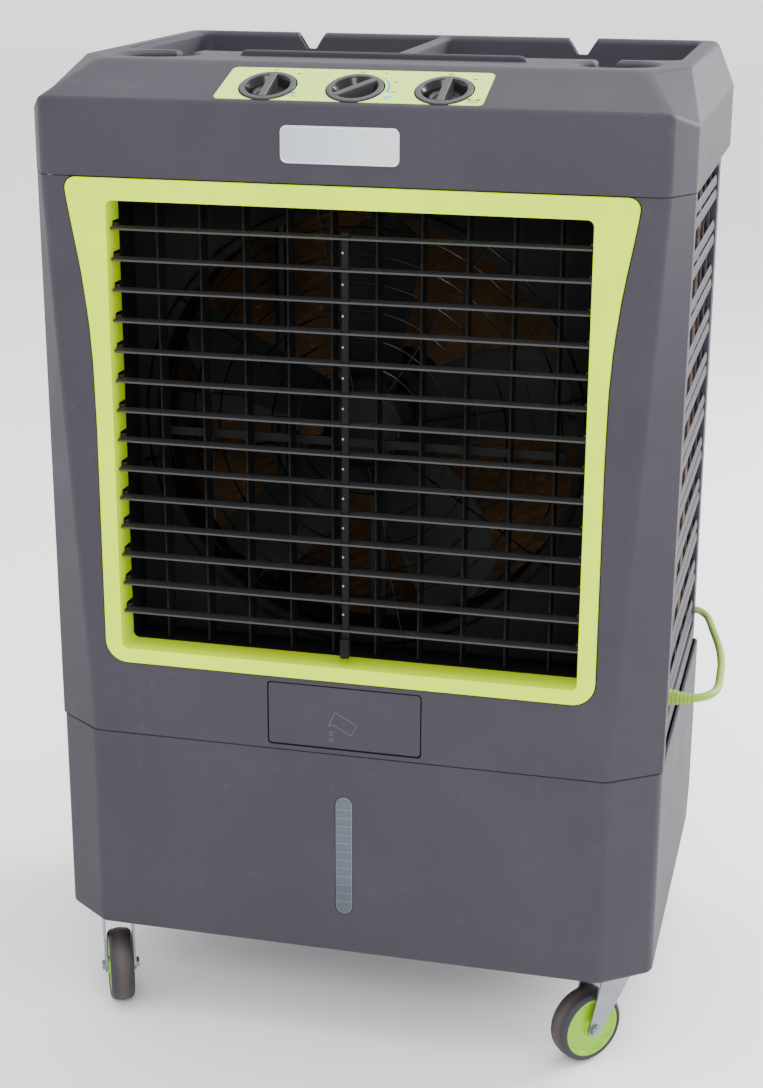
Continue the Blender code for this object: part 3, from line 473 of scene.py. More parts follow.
def pillow(lo, hi, radius, steps=5):
    """Box with round edges: each direction of a sphere, times radius, added to the nearest inner corner."""
    lo, hi = np.asarray(lo, float), np.asarray(hi, float)
    theta = np.linspace(0, math.pi / 2, steps)
    polar = np.concatenate([theta, theta + math.pi / 2])
    around = np.concatenate([theta + k * math.pi / 2 for k in range(4)])
    side = np.repeat([0, 1], steps)
    quarter = np.repeat(np.arange(4), steps)
    n = np.stack([np.sin(polar)[:, None] * np.cos(around), np.sin(polar)[:, None] * np.sin(around),
                  np.cos(polar)[:, None] * np.ones_like(around)], -1)
    sx = np.where(np.isin(quarter, (0, 3)), 1.0, -1.0)[None, :] * np.ones((2 * steps, 1))
    sy = np.where(np.isin(quarter, (0, 1)), 1.0, -1.0)[None, :] * np.ones((2 * steps, 1))
    sz = np.where(side == 0, 1.0, -1.0)[:, None] * np.ones((1, 4 * steps))
    middle, half = (lo + hi) / 2, (hi - lo) / 2 - radius
    return grid(middle + np.stack([sx, sy, sz], -1) * half + n * radius)


def lathe(profile, sides=64):
    """Closed turned surface: a closed (radius, height) profile carried round the Z axis."""
    p = np.asarray(profile, float)
    angle = np.linspace(0, 2 * math.pi, sides, endpoint=False)
    points = np.stack([p[:, 0, None] * np.cos(angle), p[:, 0, None] * np.sin(angle),
                       p[:, 1, None] * np.ones_like(angle)], -1)
    return grid(points, wrap_rows=p[0, 0] > 1e-6)


def drill(radius, half, sides=64):
    """Straight round cutter along Z, reaching half its length each way."""
    return lathe([(0, -half), (radius, -half), (radius, half), (0, half)], sides)


def rise(y):
    """How far the deck climbs above its front level: a parabola from the cups to the rear rim."""
    return (RIM_TOP - DECK) * np.clip((y - DECK_SIDE_Y) / (REAR - DECK_SIDE_Y), 0, 1) ** 2


def pocket(outline, floor, rim, floor_round, top=DECK, steps=6):
    """Recess cutter: a trumpet rim above, straight walls, a rounded floor.

    outline(o) gives the recess outline grown by o. The rim follows o = rim (1 - sin a), falling by
    rim (1 - cos a); the floor's corner does the same inward and downward.
    """
    rows = [(rim * (1 - math.sin(0.12)), top + 16)]
    for a in np.linspace(0.12, math.pi / 2, steps):
        rows.append((rim * (1 - math.sin(a)), top - rim * (1 - math.cos(a))))
    for a in np.linspace(0, math.pi / 2, steps):
        rows.append((-floor_round * (1 - math.cos(a)), floor + floor_round * (1 - math.sin(a))))
    points = np.stack([plan(outline(o), z) for o, z in rows])
    points[..., 2] += rise(points[..., 1]) * np.clip((points[..., 2] - floor) / (top - floor), 0, 1)
    return grid(points)


def rounded_rect(x0, x1, y0, y1, radius, steps=6):
    """Outline in two coordinates, with each corner an arc."""
    return lambda o=0.0: rounded(box_corners(x0 - o, x1 + o, y0 - o, y1 + o), max(radius + o, 0.2), steps)


def corner_arc(start, corner, end, radius):
    """Arc that rounds one corner between two straight runs."""
    return rounded([start, corner, end], (0, radius, 0), 9, closed=False)[1:-1]


def mirrored(half):
    """Right half of an outline followed by its mirror image."""
    return np.concatenate([half, half[::-1] * (-1, 1)])


def boxy_sine(angle, power):
    """Sine whose size is raised to a power below one, so that it squares up a section."""
    return np.sign(np.sin(angle)) * np.abs(np.sin(angle)) ** power


def tube(path, radius, sides=14):
    """Round tube along a path: circles carried on a frame that turns as little as possible."""
    p = np.asarray(path, float)
    ahead = unit(np.gradient(p, axis=0))
    normal = np.zeros_like(p)
    normal[0] = unit(np.cross(ahead[0], (0.1, 0.2, 1.0)))
    for i in range(1, len(p)):
        side = normal[i - 1] - ahead[i] * normal[i - 1].dot(ahead[i])
        normal[i] = side / np.linalg.norm(side)
    other = np.cross(ahead, normal)
    angle = np.linspace(0, 2 * math.pi, sides, endpoint=False)
    r = np.broadcast_to(np.asarray(radius, float), (len(p),))[:, None, None]
    c, s = np.cos(angle)[None, :, None], np.sin(angle)[None, :, None]
    return grid(p[:, None] + r * (c * normal[:, None] + s * other[:, None]))


def bead(outline, y, radius, sides=6):
    """Thin round bead along a closed outline in x, z at depth y."""
    return tube(upright(np.concatenate([outline, outline[:2]]), y), radius, sides)


def smooth_path(route, spacing):
    """Points at even spacing on a Catmull-Rom curve through the route."""
    p = np.asarray(route, float)
    ends = np.concatenate([2 * p[:1] - p[1:2], p, 2 * p[-1:] - p[-2:-1]])
    a, b, c, d = (ends[i:len(ends) - 3 + i, None] for i in range(4))
    t = np.linspace(0, 1, 24, endpoint=False)[None, :, None]
    fine = 0.5 * (2 * b + (c - a) * t + (2 * a - 5 * b + 4 * c - d) * t ** 2 + (3 * b - a - 3 * c + d) * t ** 3)
    fine = np.concatenate([fine.reshape(-1, 3), p[-1:]])
    run = np.concatenate([[0], np.cumsum(np.linalg.norm(np.diff(fine, axis=0), axis=1))])
    marks = np.linspace(0, run[-1], max(2, int(run[-1] / spacing) + 1))
    return np.stack([np.interp(marks, run, fine[:, k]) for k in range(3)], -1)


def slope_matrix(x, y, turn=0.0):
    """Place on the control slope, local Z standing out of it, local Y pointing up it."""
    z = SLOPE_FOOT + (y - FRONT) * (DECK - SLOPE_FOOT) / (CROWN_Y - FRONT)
    return metres(x, y, z, SLOPE_TURN @ Matrix.Rotation(math.radians(-turn), 4, "Z"))


def on_gland(x):
    """Place on the lead's gland in the right side, local Z pointing out of the side."""
    return metres(x, *GLAND, Matrix.Rotation(math.pi / 2, 4, "Y"))


def sizes():
    return bpy.context.scene.cooler_sizes


def colours():
    return bpy.context.scene.cooler_colours


def finish_of(name, maker, *args, **settings):
    """A material made once and shared by name."""
    return bpy.data.materials.get(name) or maker(name, *args, **settings)


def body_plastic():
    return finish_of("body_plastic", moulded, tuple(colours().body), 0.58, 0.2, 0.03, 0.0, 0.2)


def lime_plastic():
    return finish_of("lime_plastic", moulded, tuple(colours().lime), 0.38, 0.06, 0.01, 0.0, 0.08)


def louvre_plastic():
    return finish_of("louvre_plastic", moulded, tuple(colours().louvre), 0.42, 0.1, 0.06)


def zinc_plate():
    return finish_of("zinc_plate", satin_metal, tuple(colours().zinc), 0.34)


# ------------------------------------------------------------------ operators
class Build(bpy.types.Operator):
    """Shared settings of the building steps."""
    bl_options = {"REGISTER", "UNDO"}


class COOLER_OT_stage(Build):
    """Pale floor, soft lights and the camera"""
    bl_idname = "cooler.stage"
    bl_label = "Stage"

    def execute(self, context):
        scene = context.scene
        g = Graph("studio_floor")
        g.finish(g.mix(g.noise(3.0, 2.0), (0.93, 0.93, 0.93), (0.96, 0.96, 0.96)), 0.85, Specular_IOR_Level=0.1)
        mesh = bpy.data.meshes.new("studio_floor")
        mesh.from_pydata([(x, y, -0.0005) for x, y in box_corners(-9, 9, -9, 14)], [], [(0, 1, 2, 3)])
        mesh.materials.append(g.material)
        floor = bpy.data.objects.new("studio_floor", mesh)
        scene.collection.objects.link(floor)
        world = bpy.data.worlds.new("studio")
        world.use_nodes = True
        world.node_tree.nodes["Background"].inputs[0].default_value = (0.98, 0.99, 1.0, 1.0)
        world.node_tree.nodes["Background"].inputs[1].default_value = 1.72
        scene.world = world
        for name, place, aim, width, power in (("key", (2.3, 1.9, 1.7), (0.1, 0, 0.5), 1.6, 150),
                                               ("top", (0.3, 0.2, 3.3), (0, 0, 0.7), 2.4, 60),
                                               ("front", (0.6, -2.8, 2.3), (0, 0, 0.85), 0.9, 34)):
            lamp = bpy.data.lights.new(name, "AREA")
            lamp.size, lamp.energy = width, power
            light = bpy.data.objects.new(name, lamp)
            light.location = place
            light.rotation_euler = (Vector(aim) - Vector(place)).to_track_quat("-Z", "Y").to_euler()
            scene.collection.objects.link(light)
        lens = bpy.data.cameras.new("view")
        lens.lens, lens.sensor_width = 64.39, 36.0
        lens.shift_x, lens.shift_y = -0.0124, 0.0015
        lens.clip_end = 60
        camera = bpy.data.objects.new("view", lens)
        yaw, pitch, roll = math.radians(13.43), math.radians(17.92), math.radians(0.40)
        camera.matrix_world = (Matrix.Translation((0.446, -1.8764, 1.0796)) @ Matrix.Rotation(yaw, 4, "Z")
                               @ Matrix.Rotation(math.pi / 2 - pitch, 4, "X")
                               @ Matrix.Rotation(roll, 4, "Z"))
        scene.collection.objects.link(camera)
        scene.camera = camera
        return {"FINISHED"}


def coil_path():
    """Turns of the spare lead: two rings beside each other on the floor, then back over them.

    Radius and height are smooth steps of the turned angle, so that one ring passes into the next.
    """
    turns = 3.56
    angle = np.linspace(0, 2 * math.pi * turns, int(30 * turns))
    count = angle / (2 * math.pi)

    def step(at, width=0.22):
        t = np.clip((count - at) / width + 0.5, 0, 1)
        return t * t * (3 - 2 * t)

    radius = 48.6 - 8.6 * step(1.0) + 8.6 * step(2.9)
    height = 4.4 + 8.3 * step(1.95)
    start = math.radians(-8)
    return np.stack([COIL_X + radius * np.cos(start + angle),
                     COIL_Y + radius * np.sin(start + angle), height], -1)


def coil_tie():
    """Strap round the turns: a rounded oblong loop about the bundle, 11 wide, and its pressed-down tail."""
    inner = rounded_rect(35.4, 53.2, 0.32, 17.1, 4, 5)()
    outer = inner + unit(inner - inner.mean(0)) * 0.9
    outer[:, 1] = np.maximum(outer[:, 1], 0.03)
    rows = np.stack([upright(inner, -5.5), upright(outer, -5.5), upright(outer, 5.5), upright(inner, 5.5)])
    tail = pillow((53.4, -5.2, 2.5), (55.0, 5.2, 15.5), 0.6, 3)
    c, s = math.cos(math.radians(100)), math.sin(math.radians(100))
    turn = np.array([(c, s, 0), (-s, c, 0), (0, 0, 1)])
    return [(points @ turn + (COIL_X, COIL_Y, 0), faces)
            for points, faces in (grid(rows, wrap_rows=True), tail)]


class COOLER_OT_lead(Build):
    """Mains lead with its coil, hook, tie, strain relief and plug"""
    bl_idname = "cooler.lead"
    bl_label = "Mains lead"

    def execute(self, context):
        radius = sizes().lead / 2 / MM
        free = np.concatenate([np.array(ROUTE[:1], float), smooth_path(ROUTE[1:], 9.0)])
        coil = coil_path()
        joint = smooth_path([free[-3], free[-2], coil[2], coil[3]], 6.0)
        path = np.concatenate([free[:-2], joint[1:-1], coil[3:]])
        g = Graph("lead_rubber")
        fine = g.noise(1400.0, 2.0)
        tone = g.noise(30.0, 3.0)
        rgb = tuple(colours().lead)
        g.finish(g.mix(tone, shade(rgb, 0.86), shade(rgb, 1.08)), fine * 0.12 + 0.42, fine, 0.12, 0.0003)
        lead = piece("mains_lead", tube(path, radius, 16), g.material, HOUSING, ("power_cord", "cord_coil"),
                     weighted=False)
        hook = tube(smooth_path([(HOOK_X, y, z) for y, z in HOOK], 3), 3.4, 12)
        foot = pillow((HOOK_X - 9, 195, 307), (HOOK_X + 9, 199.6, 335), 1.8)
        piece("lead_hook", gathered([hook, foot]), body_plastic(), HOUSING)
        t = np.linspace(0, 1, 60)
        sleeve = np.stack([8.2 - 3.4 * t - 0.7 * (np.sin(t * 2 * math.pi * 7) > 0.3), 1.5 + 26 * t], -1)
        boot = np.concatenate([[(4.2, -2), (9.2, -2), (9.2, 1.5)], sleeve, [(4.2, 27.6)]])
        relief = piece("strain_relief", lathe(boot, 40), g.material, HOUSING, ("cord_gland",), on_gland(297.3),
                       angle=50)
        webbing = finish_of("tie_webbing", moulded, (0.014, 0.014, 0.016), 0.8, 0.5, 0.1)
        tie = piece("lead_tie", gathered(coil_tie()), webbing, HOUSING, angle=40)
        NODES["cord_plug"].data.materials[0] = louvre_plastic()
        return {"FINISHED"}


class COOLER_OT_cap(Build):
    """Moulded cap with its control slope, tray, cup recesses and rear wall"""
    bl_idname = "cooler.cap"
    bl_label = "Cap"

    def skin(self, inset=0.0, drop=0.0):
        """Outer skin: corner plans at three levels, rounded in plan, then rounded from level to level.

        The deck's rings shrink towards its middle, and everything above the skirt is lifted by rise().
        """
        n, back, skirt = inset, REAR - inset, CAP_BOTTOM - drop

        def corners(flat, front, half, side, low, mid, high):
            """Six corners of one plan: its front edge, then its sides and back."""
            return [(-flat, front, low), (flat, front, low), (half, side, mid), (half, back, high),
                    (-half, back, high), (-half, side, mid)]

        wall = CAP_FLAT - n * .6, FRONT + n, CAP_HALF - n, CAP_SIDE_Y + n * .3
        levels = [corners(*wall, skirt, skirt, skirt),
                  corners(*wall, SLOPE_FOOT - n * .5, SHOULDER_FRONT - n * .5, SHOULDER_REAR - n * .6),
                  corners(DECK_FLAT, CROWN_Y + n * .3, DECK_HALF - n, DECK_SIDE_Y + n, *[DECK - n] * 3)]
        loops = [rounded(np.array(level, float), (14, 14, 10, 10, 10, 10), 5) for level in levels]
        middle = np.array((0, 40, 0))
        deck = [loops[-1] + (middle - loops[-1]) * (f, f, 0) for f in (0.12, 0.3, 0.5, 0.7, 0.9)]
        base = loops[0] + (middle - loops[0]) * (0.03, 0.03, 0)
        s = sizes().shoulder / MM
        crown = 8 + 20 * np.clip((DECK_SIDE_Y - loops[-1][:, 1]) / (DECK_SIDE_Y - CROWN_Y), 0, 1)
        even = np.ones(len(loops[0]))
        radii = np.stack([even * 0, even * 1.2, even * s, crown] + [even * 0] * 5)
        chain = rounded(np.stack([base, *loops, *deck]), radii, 7, closed=False)
        chain[..., 2] += rise(chain[..., 1]) * np.clip((chain[..., 2] - RISE_FROM) / (DECK - RISE_FROM), 0, 1)
        return grid(chain)

    def recesses(self, grow=0.0):
        """Steps that cut the tray halves, slots and cups; grow leaves room for their walls."""
        rim, g = (0.3 if grow else sizes().rim / MM), grow
        steps = []
        for side in SIDES:
            x0, x1 = sorted((side * (RIB_HALF - min(g, 1)), side * (TRAY_HALF + g)))
            tray = rounded_rect(x0, x1, TRAY_FRONT - g, TRAY_REAR + g, 12)
            x = side * (CUP_X - 14)
            slot = rounded_rect(x - 9 - g, x + 9 + g, CUP_Y, TRAY_FRONT + 7, 2)

            def cup(o=0.0, side=side):
                a = np.linspace(0, 2 * math.pi, 72, endpoint=False)
                return np.stack([np.cos(a), np.sin(a)], -1) * (CUP_R + g + o) + (side * CUP_X, CUP_Y)

            steps += [less(pocket(outline, floor - g, rim, floor_round)) for outline, floor, floor_round in
                      ((tray, TRAY_FLOOR, 6), (slot, SLOT_FLOOR, 3), (cup, CUP_FLOOR, 7))]
        return steps

    def execute(self, context):
        hollow = carved(self.skin(3.0, 30.0), self.recesses(3.0))
        lip = rounded(box_corners(-LIP_HALF, LIP_HALF, 940, 959.4), (0.1, 0.1, 9, 9), 7)
        steps = [("DIFFERENCE", hollow), plus(slab(lip, LIP_Y - 3.2, LIP_Y + 3.2, 2.4)), *self.recesses()]
        for x in (-NOTCH_X, NOTCH_X):
            notch = [(x - 5, NOTCH_FLOOR), (x + 5, NOTCH_FLOOR), (x + 17, 962), (x + 24, 964.5),
                     (x - 24, 964.5), (x - 17, 962)]
            steps.append(less(slab(rounded(notch, (2, 2, 3, 0.1, 0.1, 3), 4), 198, 226)))
        steps += [less(drill(KNOB_R + 0.9, 22), slope_matrix(x, KNOB_Y)) for _, x, _ in KNOBS]
        mesh = carved(self.skin(), steps)
        piece("cap_moulding", mesh, body_plastic(), HOUSING, ("top_cap",), angle=24)
        return {"FINISHED"}


class COOLER_OT_shell(Build):
    """Bent front panel, water tank, fill door and level window"""
    bl_idname = "cooler.shell"
    bl_label = "Front panel and tank"

    def panel(self):
        """U-shaped section carried up through even heights; its corner chamfers widen downward."""
        t = np.linspace(0, 1, 15)
        flat, end, depth = 253 + 31 * t, 302.6 + 2 * t, 35 + 4 * t
        z = PANEL_BOTTOM + (PANEL_TOP - PANEL_BOTTOM) * t
        face, turn = FRONT + 0 * t, FRONT + depth
        right = [(flat, face), (end, turn), (end, turn + 14), (end - 3, turn + 14), (end - 3, turn + 1.6),
                 (flat - 1.2, face + 3)]
        section = right + [(-x, y) for x, y in right[::-1]]
        corners = np.stack([np.stack([x, y, z], -1) for x, y in section])
        bend = sizes().bend / MM
        radii = (bend, 3.0, 0.8, 0.8, 1.2, bend - 2)
        ring = rounded(corners, radii + radii[::-1], 5)
        door = rounded_rect(DOOR[0], DOOR[1], DOOR[2] - 0.5, DOOR[3], 3)
        holes = [less(slab(hole, -240, -205)) for hole in (bezel_outline(0.9, BEZEL_TOP + 0.9), door(0.9))]
        return carved(grid(np.moveaxis(ring, 1, 0)), holes)

    def tank(self):
        """One profile carried round the plan: up the outside, over the rim and down the inside.

        The rear wall is pushed forward below the height where its underside slopes.
        """
        corners = [(-255, FRONT), (255, FRONT), (TANK_HALF, -180.5), (TANK_HALF, TANK_REAR),
                   (-TANK_HALF, TANK_REAR), (-TANK_HALF, -180.5)]
        bend = sizes().bend / MM
        plan_line = rounded(corners, (bend, bend, bend, 8, 8, bend), 7)
        centre = np.array((0, -10.0))
        top = TANK_TOP - 0.5
        profile = [(60, TANK_BOTTOM), (0, TANK_BOTTOM), (0, top), (TANK_WALL, top), (TANK_WALL, TANK_TOP - 4),
                   (TANK_WALL, TANK_BOTTOM + 4), (60, TANK_BOTTOM + TANK_WALL)]
        profile = rounded(profile, (0, 5, 1.4, 0.9, 0.5, 6, 0), 6, closed=False)
        extra = np.linspace(TANK_BOTTOM + 12, TANK_TOP - 12, 16)
        outer = profile[(profile[:, 0] < 0.01)]
        low = int(np.argmax(outer[:, 1] > 150) + np.argmax(profile[:, 0] < 0.01))
        profile = np.concatenate([profile[:low], np.stack([0 * extra, extra], -1), profile[low:]])
        ahead = unit(np.roll(plan_line, -1, 0) - np.roll(plan_line, 1, 0))
        inward = np.stack([-ahead[:, 1], ahead[:, 0]], -1)
        step = np.minimum(profile[:, 0], 20)[:, None, None]
        xy = plan_line[None] + inward[None] * step
        pull = np.clip((profile[:, 0] - 20) / 40, 0, 1)[:, None, None]
        xy = xy + (centre - xy) * pull * 0.9
        z = np.broadcast_to(profile[:, 1, None], xy.shape[:2])
        inner = np.minimum(profile[:, 0], TANK_WALL)[:, None]
        limit = 165 + (z - TANK_BOTTOM) * (32 / 48) - inner
        y = np.where(limit < TANK_REAR, np.minimum(xy[..., 1], np.maximum(limit, 120)), xy[..., 1])
        return grid(np.stack([xy[..., 0], y, z], -1))

    def inlet(self):
        """Hose inlet: a turned flange and barrel, its thread a ripple of the radius, with an open bore."""
        end = INLET_REAR - TANK_REAR
        z = np.linspace(8.0, end - 1, 60)
        thread = np.stack([11 - 0.45 + 0.45 * np.cos(2 * math.pi * z / 2.6), z], -1)
        flange = [(0, -2), (14, -2), (14, 5), (13, 6), (10.6, 6)]
        bore = [(10.2, end), (7.5, end), (7.5, 3), (0, 3)]
        points, faces = lathe(np.concatenate([flange, thread, bore]), 36)
        return np.stack([points[:, 0] + INLET_X, points[:, 2] + TANK_REAR, FLOAT_Z - points[:, 1]], -1), faces

    def symbol(self):
        """Raised outline of a tipped jug with two drops, each line a thin round bead."""
        jug = [(-8.6, 355), (13, 343), (7.6, 332), (-10.5, 341.4), (-15, 340)]
        jug = rounded(jug, (1, 1.5, 1.5, 1.5, 0.6), 4)
        angle = np.linspace(0, 2 * math.pi, 18)
        drop = np.stack([1.7 * np.sin(angle), 1.9 * np.cos(angle) + 0.8 * np.exp(-4 * angle ** 2)], -1)
        lines = [np.concatenate([jug, jug[:2]]), drop + (-12.4, 332.5), drop + (-12.2, 325.5)]
        return [tube(upright(line, FRONT - 0.3), 0.4, 6) for line in lines]

    def execute(self, context):
        piece("front_moulding", self.panel(), body_plastic(), HOUSING, ("front_panel",), angle=30)
        x, low, high, half = WINDOW
        slot = rounded_rect(x - half - 0.3, x + half + 0.3, low, high, half + 0.2, 10)()
        steps = [less(slab(slot, -230, -205))]
        for y in (FLOAT_Y - 11.5, FLOAT_Y + 11.5):
            low_end, high_end = (FLOAT_X - 10, y - 2, FLOAT_Z - 8), (TANK_HALF - 1.5, y + 2, FLOAT_Z + 8)
            steps.append(plus(pillow(low_end, high_end, 0.6, 3)))
        supply = tube([(INLET_X + 5, FLOAT_Y + 12, FLOAT_Z), (INLET_X + 5, TANK_REAR - 1, FLOAT_Z)], 5)
        tank = carved(self.tank(), [*steps, plus(supply), plus(self.inlet())])
        piece("tank_moulding", tank, body_plastic(), HOUSING, ("water_tank",), angle=30)
        leaf = slab(rounded_rect(*DOOR, 3.4, 8)(-0.3), FRONT - 0.2, FRONT + 3, 0.8)
        cheek = rounded([(-213, 322), (-178, 352), (-184, 368), (-213, 374)], 2, 3)
        chute = rounded([(-213, 321), (-178, 351), (-178, 354), (-213, 324)], 0.6, 2)
        back = [slab(cheek, -67, -65, 0.3), slab(cheek, 65, 67, 0.3), slab(chute, -66, 66, 0.3)]
        back = [(points[:, [1, 0, 2]], faces) for points, faces in back]
        piece("fill_door_leaf", gathered([leaf, *back]), body_plastic(), "fill_door", ("fill_door",))
        # The symbol takes a lighter copy of the body colour: a painted highlight on its raised lines.
        raised = finish_of("raised_symbol", moulded, shade(tuple(colours().body), 2.6), 0.45, 0.1)
        piece("fill_door_symbol", gathered(self.symbol()), raised, "fill_door")
        glass = finish_of("sight_window", clear_window, tuple(colours().window))
        lens = rounded_rect(x - half, x + half, low + 0.3, high - 0.3, half, 10)()
        lens = slab(lens, FRONT - 0.4, FRONT + 3, 1.2, 5)
        piece("sight_window_lens", lens, glass, HOUSING, ("level_window",))
        # The ribs and their rim bead take a lighter copy of the window colour: a painted highlight on the
        # raised ribs.
        pale = finish_of("window_ribs", clear_window, shade(tuple(colours().window), 2.1))
        ring = rounded_rect(x - half + 0.9, x + half - 0.9, low + 1.2, high - 1.2, half - 1, 10)()
        ribs = [bead(ring, FRONT - 0.45, 0.35)]
        ribs += [pillow((x - half + 1.6, FRONT - 0.75, z), (x + half - 1.6, FRONT - 0.2, z + 0.9), 0.25, 3)
                 for z in np.linspace(154, 253, 12)]
        piece("sight_window_ribs", gathered(ribs), pale, HOUSING)
        badge = slab(rounded_rect(*BADGE, 6, 8)(), FRONT - 1.3, FRONT + 0.5, 0.7)
        rim = rounded_rect(*BADGE, 6, 8)(-1.3)
        piece("badge_plate", badge, finish_of("badge_anodised", brushed_badge), HOUSING)
        silver = finish_of("badge_edge", satin_metal, (0.85, 0.87, 0.9), 0.22)
        piece("badge_rim", bead(rim, FRONT - 1.3, 0.55, 8), silver, HOUSING)
        return {"FINISHED"}


def bezel_outline(grow=0.0, top=None):
    """Outer edge of the louvre frame in x, z: round lower corners, sides that flare out towards the top."""
    x, z = BEZEL_SIDE[0][0], BEZEL_BOTTOM
    peak = top or BEZEL_TOP
    low = corner_arc((0, z - grow), (x + grow, z - grow), (x + grow, 450), 22 + grow)
    side = np.array([(a + grow, b) for a, b in BEZEL_SIDE[1:]])
    t = np.linspace(side[0, 1], side[-1, 1] - 4, 14)
    flare = np.stack([np.interp(t, side[:, 1], side[:, 0]), t], -1)
    return mirrored(np.concatenate([low, flare, corner_arc(flare[-1], (263 + grow, peak), (0, peak), 21)]))


class COOLER_OT_bezel(Build):
    """Lime frame round the louvres"""
    bl_idname = "cooler.bezel"
    bl_label = "Louvre frame"

    def execute(self, context):
        outer = bezel_outline()
        low = corner_arc((0, OPEN_BOTTOM), (OPEN_HALF, OPEN_BOTTOM), (OPEN_HALF, 450), 6)
        side = np.stack([np.full(14, OPEN_HALF), np.linspace(620, OPEN_TOP - 6.5, 14)], -1)
        top = corner_arc((OPEN_HALF, 800), (OPEN_HALF, OPEN_TOP), (0, OPEN_TOP), 6)
        inner = mirrored(np.concatenate([low, side, top]))
        if len(inner) != len(outer):
            raise RuntimeError("The frame's two outlines don't match")
        behind = inner + unit(outer - inner) * 3.0
        rows = [upright(outer, -212.4), upright(outer, -216.4), upright(inner + (outer - inner) * 0.5, -217.0),
                upright(inner, -216.4), upright(inner, -183.8), upright(behind, -183.8),
                upright(behind, -212.4)]
        chain = rounded(np.stack(rows), (0.4, 1.6, 12, 1.2, 0.5, 0.5, 0.4), 5)
        heights = [JOINTS[f"slat_{i:02d}_tilt"]["pos_m"][2] / MM for i in range(1, SLATS + 1)]
        notches = gathered([pillow((-229, -200.5, z - 3.4), (229, -180, z + 3.4), 1.2, 3) for z in heights])
        mesh = carved(grid(chain, wrap_rows=True), [less(notches)])
        piece("louvre_frame", mesh, lime_plastic(), HOUSING, ("bezel",), angle=35)
        return {"FINISHED"}


